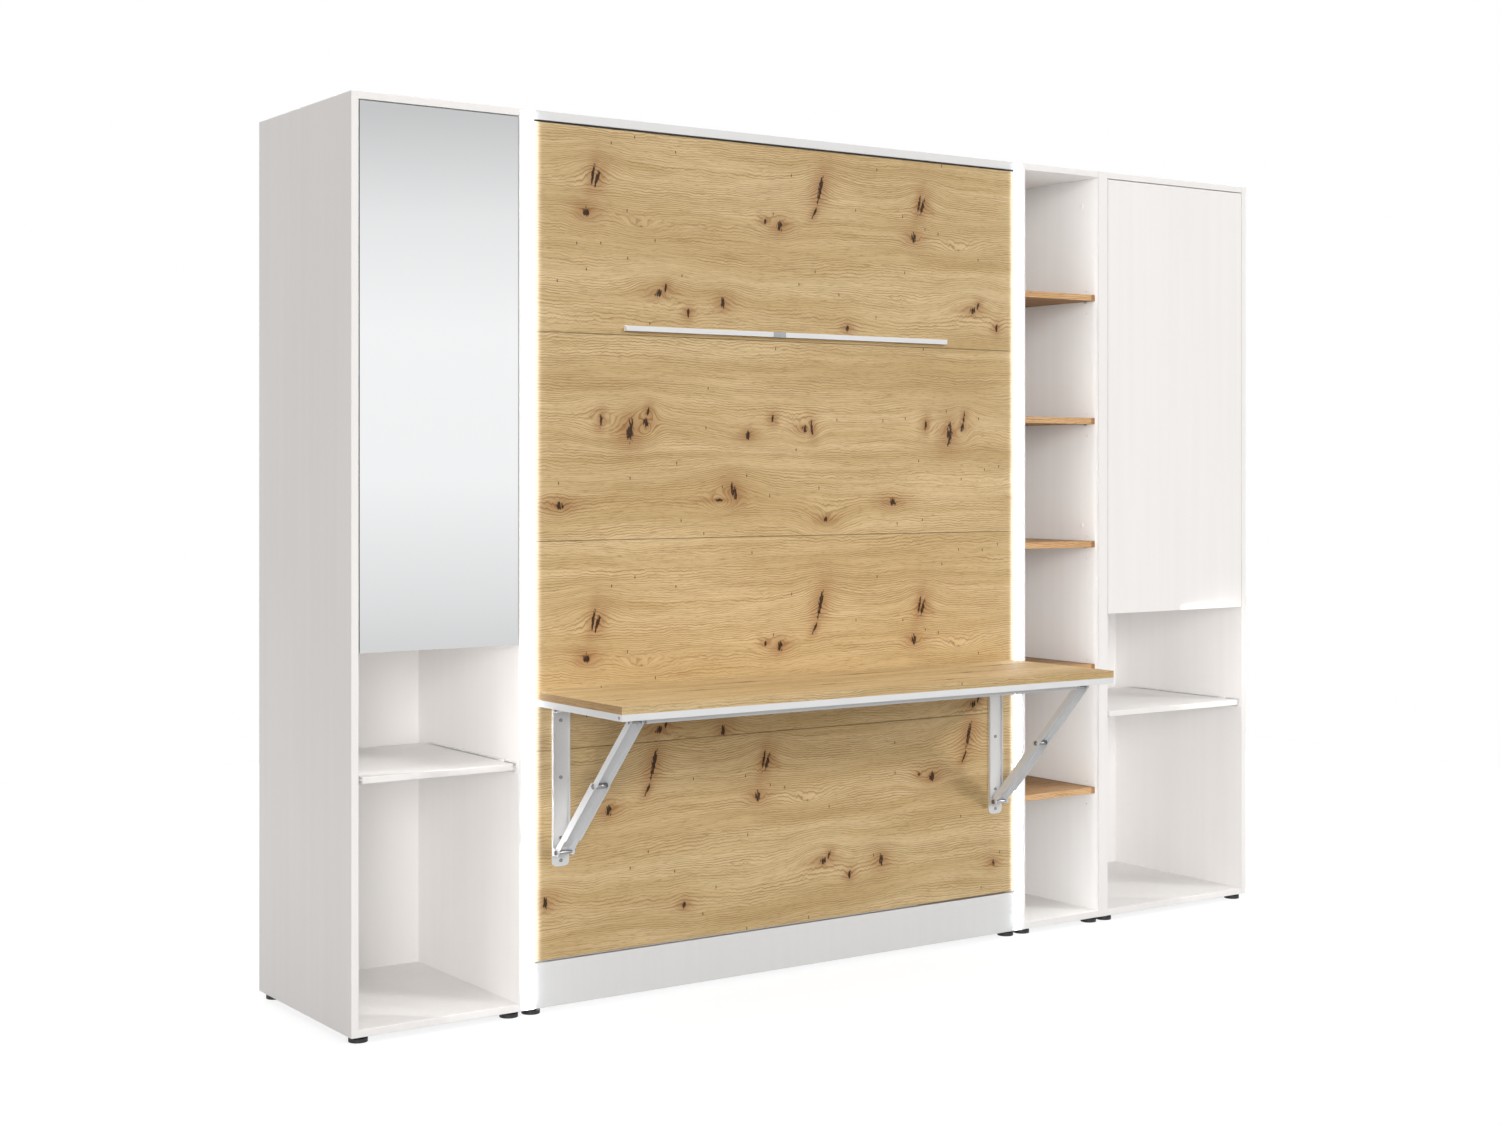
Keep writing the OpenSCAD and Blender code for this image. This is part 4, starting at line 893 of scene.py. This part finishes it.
# %% Quilt the mattress's faces
QUILT = 125 * MM
QUILT_DEPTH = 5 * MM
QUILT_SEAM = 13 * MM
EDGE_FREE = 45 * MM


def quilt_depth(x, z):
    """How far the quilting pulls the cover in at a place on the face."""
    depth = np.zeros_like(x)
    for along in ((x + z) / math.sqrt(2), (x - z) / math.sqrt(2)):
        off = np.abs((along / QUILT + 0.5) % 1 - 0.5) * QUILT
        depth = np.maximum(depth, np.exp(-(off / QUILT_SEAM) ** 2))
    return depth * QUILT_DEPTH


holder = held(body_mesh)
holder.modifiers.new("finer", "SUBSURF").levels = 1
mattress_mesh = release(holder)
points = get_points(mattress_mesh) - mattress_mid
from_side = np.minimum(mattress_half[0] - np.abs(points[:, 0]),
                       mattress_half[2] - np.abs(points[:, 2]))
on_face = np.clip((from_side - EDGE_FREE / 3) / EDGE_FREE, 0, 1)
facing_out = np.sign(points[:, 1]) * (np.abs(points[:, 1]) > 0.6 * mattress_half[1])
points[:, 1] -= facing_out * on_face * quilt_depth(points[:, 0], points[:, 2])
inside = mattress_half - 0.5 * MM
set_points(mattress_mesh, np.clip(points, -inside, inside) + mattress_mid)
mattress = new_object("mattress_pad", mattress_mesh, cover_fabric, "bed")
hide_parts("mattress")
print("mattress has", len(mattress_mesh.vertices), "points")


# %% [markdown]
# ## Pieces swept from rings
# Piping, straps, rivets and strips have one thing in common: they are rings of
# points, each joined to the next by a row of faces. Three helpers do that, so
# every such piece below only has to say where its rings are.

# %% Helpers for swept pieces
def circle(work, place, side, up, radius, sides):
    """A ring of points round a place, in the plane of side and up."""
    angles = [math.tau * k / sides for k in range(sides)]
    return [work.verts.new(place + radius * (math.cos(angle) * side + math.sin(angle) * up))
            for angle in angles]


def join_rings(work, rings, closed=False):
    """Faces from each ring to the next, and a cap at both ends unless closed."""
    following_rings = rings[1:] + (rings[:1] if closed else [])
    for ring, following in zip(rings, following_rings):
        for k in range(len(ring)):
            after = (k + 1) % len(ring)
            work.faces.new((ring[k], ring[after], following[after], following[k]))
    if not closed:
        work.faces.new(rings[0])
        work.faces.new(reversed(rings[-1]))


def made_mesh(work):
    """The mesh of what was built, with its faces turned outwards."""
    mesh = bpy.data.meshes.new("piece")
    bmesh.ops.recalc_face_normals(work, faces=work.faces)
    work.to_mesh(mesh)
    work.free()
    return mesh


# %% [markdown]
# Piping hides the seam between each face and the side band: a thin cord in
# grey fabric that runs round the rounded rectangle.

# %% Piping round both edges
def closed_tube(path, radius, sides=10):
    """A tube along a path in an upright plane that comes back to its start."""
    work = bmesh.new()
    rings = []
    for number, place in enumerate(path):
        along = (path[(number + 1) % len(path)] - path[number - 1]).normalized()
        side = along.cross(Vector((0, 1, 0))).normalized()
        rings.append(circle(work, place, side, side.cross(along), radius, sides))
    join_rings(work, rings, closed=True)
    return made_mesh(work)


def round_rectangle(half_w, half_h, radius, y, steps=10):
    """Points of a rounded rectangle in an upright plane, round the mattress's middle."""
    path = []
    for corner, (sx, sz) in enumerate(((1, 1), (-1, 1), (-1, -1), (1, -1))):
        for step in range(steps + 1):
            angle = math.pi / 2 * (corner + step / steps)
            path.append(Vector((
                mattress_mid[0] + sx * (half_w - radius) + radius * math.cos(angle), y,
                mattress_mid[2] + sz * (half_h - radius) + radius * math.sin(angle))))
    return path


PIPING = 3.5 * MM
PIPING_INSET = PIPING + 0.5 * MM
CORNER = 62 * MM
for name, y in (("mattress_front_piping", mattress_low.y + 15 * MM),
                ("mattress_back_piping", mattress_high.y - 24 * MM)):
    path = round_rectangle(mattress_half[0] - PIPING_INSET,
                           mattress_half[2] - PIPING_INSET, CORNER, y)
    piping = new_object(name, closed_tube(path, PIPING), piping_fabric, "bed")
print("piping runs round both edges")

# %% [markdown]
# ## Straps
# Two woven straps hold the mattress while the bed is upright. A strap is a flat
# band that follows the mattress from one side of the frame to the other, so it
# is modelled directly: a strip along a path, a little thicker at its sewn edges.

# %% Straps over the mattress
strap_low, strap_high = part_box("mattress_straps")
STRAP_T = 1.6 * MM
STRAP_W = 40 * MM
strap_rows = sorted({round(v.co.z, 4) for v in nodes["mattress_straps"].data.vertices})
strap_bottoms = [z for z in strap_rows if any(abs(z + STRAP_W - other) < 1 * MM
                                              for other in strap_rows)]


def strap_path():
    """The strap's line over the mattress, in the X-Y plane, from left to right."""
    half = (strap_high.x - strap_low.x) / 2
    mid = (strap_high.x + strap_low.x) / 2
    top = strap_high.y - STRAP_T
    bend = 16 * MM
    crown = 4 * MM
    right = [(half - STRAP_T, strap_low.y + 1 * MM),
             (half - STRAP_T, (strap_low.y + top) / 2)]
    for step in range(7):
        angle = math.pi / 2 * step / 6
        right.append((half - STRAP_T - bend + bend * math.cos(angle),
                      top - crown - bend + bend * math.sin(angle)))
    for step in range(1, 9):
        share = step / 8
        x = (half - STRAP_T - bend) * (1 - share)
        right.append((x, top - crown * (1 - share) ** 2))
    left = [(-x, y) for x, y in reversed(right[:-1])]
    return [Vector((mid + x, y, 0)) for x, y in right + left]


def band(path, low, width, thickness):
    """A flat band: its path lies in X-Y, and its width runs up along Z."""
    profile = [(0.0, 0.15), (0.08, 1.0), (0.5, 0.8), (0.92, 1.0), (1.0, 0.15)]
    outline = profile + [(z, 0.0) for z, _ in reversed(profile)]
    work = bmesh.new()
    rings = []
    for number, place in enumerate(path):
        before, after = path[max(number - 1, 0)], path[min(number + 1, len(path) - 1)]
        along = (after - before).normalized()
        out = Vector((along.y, -along.x, 0))
        rings.append([work.verts.new(place + out * thickness * t
                                     + Vector((0, 0, low + width * z)))
                      for z, t in outline])
    join_rings(work, rings)
    return made_mesh(work)


for number, low in enumerate(strap_bottoms):
    strap = new_object(f"mattress_strap_{number + 1}",
                       band(strap_path(), low, STRAP_W, STRAP_T),
                       strap_fabric, "bed", smooth=False)
    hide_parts("mattress_straps")
print(len(strap_bottoms), "straps")

# %% [markdown]
# ## Small hardware of the desk's brackets
# The pins are riveted over: each end is a domed head with a small dimple. The rim
# is held by flat screws. All are turned parts, so each is a profile swept round
# its axis.

# %% Where the brackets' pins are
turns = {joint["name"]: Vector(joint["pos_m"]) for joint in frame["joints"]
         if "pos_m" in joint}
hinge, low_pin, lug = (Vector((0, *turns[name][1:])) for name in (
    "desk_fold", "lower_strut_fold", "upper_strut_fold"))
strut_line = (lug - low_pin).normalized()
to_wall = Vector((0, strut_line.z, -strut_line.y))
# Open, the two struts lie in one line. Folded, they lie on each other along the
# wall. The two lengths together give each strut its own.
lower_length = ((lug - low_pin).length + (hinge.z - low_pin.z) - (hinge.y - lug.y)) / 2
upper_length = (lug - low_pin).length - lower_length
knee = low_pin + strut_line * lower_length
STRIP_W = 47 * MM
strips_low, strips_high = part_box("desk_wall_strips")
bracket_xs = [strips_low.x + STRIP_W / 2, strips_high.x - STRIP_W / 2]
print("knee at", [round(value, 4) for value in knee], "brackets at", bracket_xs)


# %% Turned pieces: rivet heads, sleeves and screws
def turned(profile, places, sides=20):
    """Pieces swept round an axis: profile is (along, radius) in mm, places (point, axis)."""
    work = bmesh.new()
    for place, axis in places:
        side = axis.orthogonal().normalized()
        join_rings(work, [
            circle(work, place + axis * along * MM, side, axis.cross(side), radius * MM, sides)
            for along, radius in profile])
    return made_mesh(work)


def both_ways(point, half_w):
    """The two ends of a pin on each bracket, each with the way it faces."""
    return [(point + Vector((x + way * half_w, 0, 0)), Vector((way, 0, 0)))
            for x in bracket_xs for way in (-1, 1)]


STRUT_HALF = 21 * MM
DOME = [(0, 6.4), (1.2, 6.4), (2.3, 5.5), (2.9, 3.8), (3.1, 2.4), (2.4, 1.0)]
knee_ends = both_ways(knee, STRUT_HALF)
new_object("knee_rivets", turned(DOME, knee_ends), pin_steel, "lower_struts")
SLEEVE = [(-16.3, 5.6), (-15.9, 6.4), (15.9, 6.4), (16.3, 5.6)]
knees = [(knee + Vector((x, 0, 0)), Vector((1, 0, 0))) for x in bracket_xs]
new_object("knee_sleeves", turned(SLEEVE, knees), pin_steel, "upper_struts")
FLAT_HEAD = [(-0.2, 3.6), (0.4, 3.6), (0.7, 3.1), (0.7, 1.5), (-0.1, 0.9)]
RIM_BORE = 12 * MM
RIM_DROP = 8 * MM
rim_low, rim_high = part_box("desk_frame")
rim_z = (rim_high.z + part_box("desk_top")[0].z) / 2 - RIM_DROP
rim_screws = [(Vector((x, y, rim_z)), Vector((way, 0, 0)))
              for x, way in ((rim_low.x, -1), (rim_high.x, 1))
              for y in (rim_low.y + RIM_BORE, rim_high.y - RIM_BORE)]
new_object("rim_screws", turned(FLAT_HEAD, rim_screws), pin_steel, "desk")
print(len(knee_ends), "rivets,", len(knees), "sleeves,", len(rim_screws), "rim screws")

# %% [markdown]
# ## Webs of the struts
# A strut is a channel of bent sheet: two side walls and a web. The construction
# leaves the web's ends out, so that the folding struts clear each other. Here
# they are closed with thin sheets, one of them with a curved cut for the knee.

# %% Ends of the struts' webs
WEB_T = 2 * MM


def web_ends(origin, along, spans):
    """Sheets across both brackets' struts: (from, to, half width, depth of the cut)."""
    work = bmesh.new()
    for x in bracket_xs:
        for start, end, half_w, cut in spans:
            outline = [(-half_w, start), (half_w, start), (half_w, end)]
            outline += [(0.8 * half_w * math.cos(math.pi * k / 8),
                         end - cut * math.sin(math.pi * k / 8)) for k in range(9)]
            outline.append((-half_w, end))
            join_rings(work, [[work.verts.new(origin + Vector((x + side, 0, 0))
                                              + along * place + to_wall * height)
                               for side, place in outline] for height in (0, WEB_T)])
    return made_mesh(work)


LOWER_HALF, UPPER_HALF, EARS_HALF = 19.2 * MM, 16.7 * MM, 13.6 * MM
lower_ends = [(6 * MM, 24.5 * MM, LOWER_HALF, 0),
              (lower_length - 87.5 * MM, lower_length - 14 * MM, LOWER_HALF, 5 * MM)]
upper_ends = [(-2 * MM, 24.5 * MM, EARS_HALF, 0),
              (upper_length - 12.5 * MM, upper_length, UPPER_HALF, 0)]
LOWER_DEEP, UPPER_DEEP = 10 * MM, 6 * MM
new_object("lower_strut_webs",
           web_ends(low_pin + to_wall * LOWER_DEEP, strut_line, lower_ends),
           white_steel, "lower_struts", smooth=False)
new_object("upper_strut_webs",
           web_ends(lug + to_wall * UPPER_DEEP, -strut_line, upper_ends),
           white_steel, "upper_struts", smooth=False)
print(len(lower_ends + upper_ends), "sheets close the webs of each bracket")

# %% [markdown]
# ## Strips in the gaps
# The dark line over the bed's front is the gap under the top board. A black strip
# hangs in it as painted shade, so the gap reads as black. Behind the doors' edges
# runs a soft white stop strip, which keeps light in their narrow gaps. None of
# them touches what moves. Where two cabinets stand side by side, a thin grey strip
# between their rounded edges is painted shade: the dark line of the joint.

# %% Painted shade strip and stop strips
STRIP_STEP = 6 * MM


def gap_strip(work, start, end, down, depth, thickness):
    """A strip whose lower edge is rounded and slightly uneven; it is thick along Y."""
    count = max(round((end - start).length / STRIP_STEP), 1)
    rings = []
    for number in range(count + 1):
        place = start.lerp(end, number / count)
        drop = depth * (0.95 + 0.05 * math.sin(number * 2.4))
        rings.append([work.verts.new(place + down * drop * share
                                     + Vector((0, side * thickness, 0)))
                      for side, share in ((-0.5, 0), (0.5, 0), (0.5, 0.8), (0.2, 1),
                                          (-0.2, 1), (-0.5, 0.8))])
    join_rings(work, rings)


def hang_strips(name, runs, depth, thickness, material):
    """One piece of several strips: each run is (start, end, the way it hangs)."""
    work = bmesh.new()
    for run in runs:
        gap_strip(work, *(Vector(part) for part in run), depth, thickness)
    new_object(name, made_mesh(work), material, "carcass", smooth=False)


# A black strip under the top board: painted shade, so the gap over the front reads as black.
shade_strip_y, shade_strip_z = front_low.y + 5 * MM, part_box("bed_top_board")[0].z
hang_strips("gap_shade_strip",
            [((front_low.x, shade_strip_y, shade_strip_z), (front_high.x, shade_strip_y, shade_strip_z), (0, 0, -1))],
            4.2 * MM, 5 * MM, black_rubber)
for cabinet in ("wardrobe", "cupboard"):
    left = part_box(cabinet + "_left_side")[1].x
    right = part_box(cabinet + "_right_side")[0].x
    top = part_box(cabinet + "_top")[0].z
    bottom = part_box(cabinet + "_mid_shelf")[1].z
    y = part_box(cabinet + "_door")[1].y + 2 * MM
    hang_strips(cabinet + "_door_stop", [((left, y, top), (right, y, top), (0, 0, -1)),
                                         ((right, y, bottom), (right, y, top), (-1, 0, 0)),
                                         ((left, y, bottom), (left, y, top), (1, 0, 0))],
                7 * MM, 3 * MM, white_plastic)
print("a shade strip over the front and a stop behind each door")

# %% Painted shade in the joints between the cabinets
JOINT_SHADE_W = 1.2 * MM
joint_shade_y = front_low.y + 0.7 * MM
joint_xs = [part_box(cabinet + "_left_side")[0].x for cabinet in ("shelving", "cupboard")]
joint_xs.append(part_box("wardrobe_right_side")[1].x)
side_low, side_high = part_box("cupboard_left_side")
# A thin grey strip in each joint: painted shade in the groove between the rounded edges.
hang_strips("cabinet_joint_shade", [((x - JOINT_SHADE_W / 2, joint_shade_y, side_low.z + 1 * MM),
                                (x - JOINT_SHADE_W / 2, joint_shade_y, side_high.z - 1 * MM), (1, 0, 0))
                               for x in joint_xs], JOINT_SHADE_W, 0.6 * MM, grey_plastic)
print(len(joint_xs), "joints at", [round(x, 3) for x in joint_xs])

# %% [markdown]
# ## Catches of the pull-out shelves
# A runner has a small white ramp near its front, over which the shelf clicks in,
# so that it doesn't slide off. It is one outline, given a thickness.

# %% Catches on the runners
RAMP = [(50, -1), (54, 5.5), (62, 6), (72, 3), (84, -1)]  # from the front, over the shelf
RAMP_SIDES = (-0.5, 3)


def catches(low, high):
    """A ramp beside each side of a shelf, where low and high are its corners."""
    work = bmesh.new()
    for x, way in ((low.x, -1), (high.x, 1)):
        join_rings(work, [[work.verts.new((x + way * off * MM, low.y + along * MM,
                                           high.z + rise * MM))
                           for along, rise in RAMP] for off in RAMP_SIDES])
    return made_mesh(work)


for cabinet in ("wardrobe", "cupboard"):
    new_object(cabinet + "_catches", catches(*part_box(cabinet + "_pullout_shelf")),
               white_plastic, cabinet + "_pullout", smooth=False)
print("catches on both pull-out shelves")

# %% [markdown]
# ## Ground and light
# The picture has a plain white ground. The floor is a real surface, so that it
# takes the unit's shadow, but seen by the camera or in a reflection it also
# glows, which lifts it to white without any more light on the unit. It is a grey
# floor, because a white one would throw too much light on the boards' feet.

# %% Floor
floor_material, tree, shader, point = new_material("floor", Roughness=0.9)
clouds = noise(tree, point, (1.5, 1.5, 1.5), 2)
connect(tree, blend_colours(tree, clouds, (0.205, 0.205, 0.205), (0.19, 0.19, 0.19)),
        shader.inputs["Base Color"])
path_kind = add(tree, "ShaderNodeLightPath").outputs
seen = calc(tree, "MAXIMUM", path_kind["Is Camera Ray"],
            calc(tree, "MAXIMUM", path_kind["Is Glossy Ray"],
                 path_kind["Is Transmission Ray"]))
FLOOR_GLOW = 0.845
connect(tree, calc(tree, "MULTIPLY", seen, FLOOR_GLOW), shader.inputs["Emission Strength"])
shader.inputs["Emission Color"].default_value = (1, 1, 1, 1)

FLOOR_HALF = 4.5
floor_mesh = bpy.data.meshes.new("floor")
floor_mesh.from_pydata([(-FLOOR_HALF, -FLOOR_HALF, 0), (FLOOR_HALF, -FLOOR_HALF, 0),
                        (FLOOR_HALF, FLOOR_HALF, 0), (-FLOOR_HALF, FLOOR_HALF, 0)],
                       [], [(0, 1, 2, 3)])
floor_mesh.materials.append(floor_material)
floor = bpy.data.objects.new("floor", floor_mesh)
scene.collection.objects.link(floor)
print("floor", 2 * FLOOR_HALF, "m wide")

# %% [markdown]
# The sky is three skies. The eye sees plain white, and as light it is weak and
# even. A mirror needs something to show, so reflections see a studio's grey
# gradient: grey near the floor, brightest a little above the eye, grey again.

# %% Sky: white to the eye, graded in reflections, even as light
SKY_LIGHT = 0.12
world = bpy.data.worlds.new("sky")
world.use_nodes = True
tree = world.node_tree
tree.nodes.clear()
path_kind = add(tree, "ShaderNodeLightPath").outputs
rise = vector(tree, "DOT_PRODUCT", add(tree, "ShaderNodeTexCoord").outputs["Generated"],
              (0, 0, 1))
MIRROR_REACH = 0.3  # how far below and above level the gradient goes
place = calc(tree, "MULTIPLY_ADD", rise, 0.5 / MIRROR_REACH, 0.5)
graded = add(tree, "ShaderNodeValToRGB", {"Fac": place})
MIRROR_SKY = [(0.0, 205), (0.30, 205), (0.367, 219), (0.398, 229), (0.492, 249),
              (0.608, 251), (0.693, 237), (0.773, 204)]
stops = graded.color_ramp.elements
for number, (place, level) in enumerate(MIRROR_SKY):
    stop = stops[number] if number < 2 else stops.new(place)
    stop.position = place
    stop.color = (*srgb(level, level, level + 1), 1)
even = add(tree, "ShaderNodeBackground", {"Color": (1, 1, 1), "Strength": SKY_LIGHT})
mirrored = add(tree, "ShaderNodeBackground", {"Color": graded.outputs[0], "Strength": 1.0})
white = add(tree, "ShaderNodeBackground", {"Color": (1, 1, 1), "Strength": 1.0})
first = add(tree, "ShaderNodeMixShader", {0: path_kind["Is Glossy Ray"],
                                          1: even.outputs[0], 2: mirrored.outputs[0]})
clear = calc(tree, "MAXIMUM", path_kind["Is Camera Ray"], path_kind["Is Transmission Ray"])
second = add(tree, "ShaderNodeMixShader", {0: clear, 1: first.outputs[0],
                                           2: white.outputs[0]})
add(tree, "ShaderNodeOutputWorld", {"Surface": second.outputs[0]})
scene.world = world
print("an even sky of", SKY_LIGHT, "and a gradient of", len(MIRROR_SKY), "stops")

# %% [markdown]
# The key is a sun from the front right, a little soft, and the desk's shadow
# falls down to the left of it. A low, wide fill from the front left lights what
# that shadow covers, so the shadow is even and has no dark rim under the desk.
# Weaker lamps from the left, from above and from behind shape the panels.

# %% Soft lamps
LAMP_TINT = (1.0, 0.98, 0.965)
SIDE_TINT = (1.0, 0.955, 0.92)


def place_lamp(name, kind, coming_from, energy, tint):
    """A lamp object that shines along the line from where its light comes."""
    data = bpy.data.lights.new(name, kind)
    data.energy = energy
    data.color = tint
    lamp = bpy.data.objects.new(name, data)
    lamp.rotation_mode = "QUATERNION"
    lamp.rotation_quaternion = Vector(coming_from).to_track_quat("Z", "Y")
    scene.collection.objects.link(lamp)
    return lamp


LAMPS = [  # name, where its light comes from, strength on a face turned to it, spread, tint
    ("key", (0.574, -0.716, 0.396), 0.41, 10, LAMP_TINT),
    ("fill", (-0.50, -0.85, 0.13), 0.485, 25, LAMP_TINT),
    ("left_side", (-0.97, -0.15, 0.20), 0.235, 40, SIDE_TINT),
    ("overhead", (0, -0.10, 0.995), 0.385, 40, LAMP_TINT),
    ("behind", (0.35, 0.90, 0.25), 0.38, 30, LAMP_TINT)]
for name, coming_from, strength, spread, tint in LAMPS:
    sun = place_lamp(name, "SUN", coming_from, strength * math.pi, tint)
    sun.data.angle = math.radians(spread)
print(len(LAMPS), "lamps")

# %% [markdown]
# The open bays are deep, and lamps in front of the unit hardly reach into them. A
# photographer stands white cards in front of them. Here each card is an area lamp
# in the mouth of a bay that shines inwards only, so it can't be seen from outside.

# %% Cards that light the open bays
CARD_INSET = 4 * MM
COOL_TINT = (0.94, 0.985, 1.01)


def light_mouth(cabinet, low, high, strength, turned_right, tint=LAMP_TINT):
    """An area lamp in a cabinet's mouth, from over one board to under another."""
    x_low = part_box(cabinet + "_left_side")[1].x
    x_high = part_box(cabinet + "_right_side")[0].x
    z_low, z_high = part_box(low)[1].z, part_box(high)[0].z
    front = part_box(cabinet + "_left_side")[0].y
    area = (x_high - x_low) * (z_high - z_low)
    card = place_lamp("card_" + low, "AREA", (-turned_right, -1, 0),
                      strength * math.pi * area, tint)
    card.data.shape = "RECTANGLE"
    card.data.size = x_high - x_low
    card.data.size_y = z_high - z_low
    card.location = ((x_low + x_high) / 2, front + CARD_INSET, (z_low + z_high) / 2)
    card.visible_glossy = False


for cabinet, upper, lower in (("wardrobe", 0.70, 0.36), ("cupboard", 0.48, 0.27)):
    pullout = cabinet + "_pullout_shelf"
    light_mouth(cabinet, pullout, cabinet + "_mid_shelf", upper, 0.2)
    light_mouth(cabinet, cabinet + "_bottom", pullout, lower, 0.9)
light_mouth("shelving", "shelving_bottom", "shelving_top", 0.68, 0.0, COOL_TINT)
scene.view_settings.view_transform = "Standard"
print("a card in the mouth of each open bay")
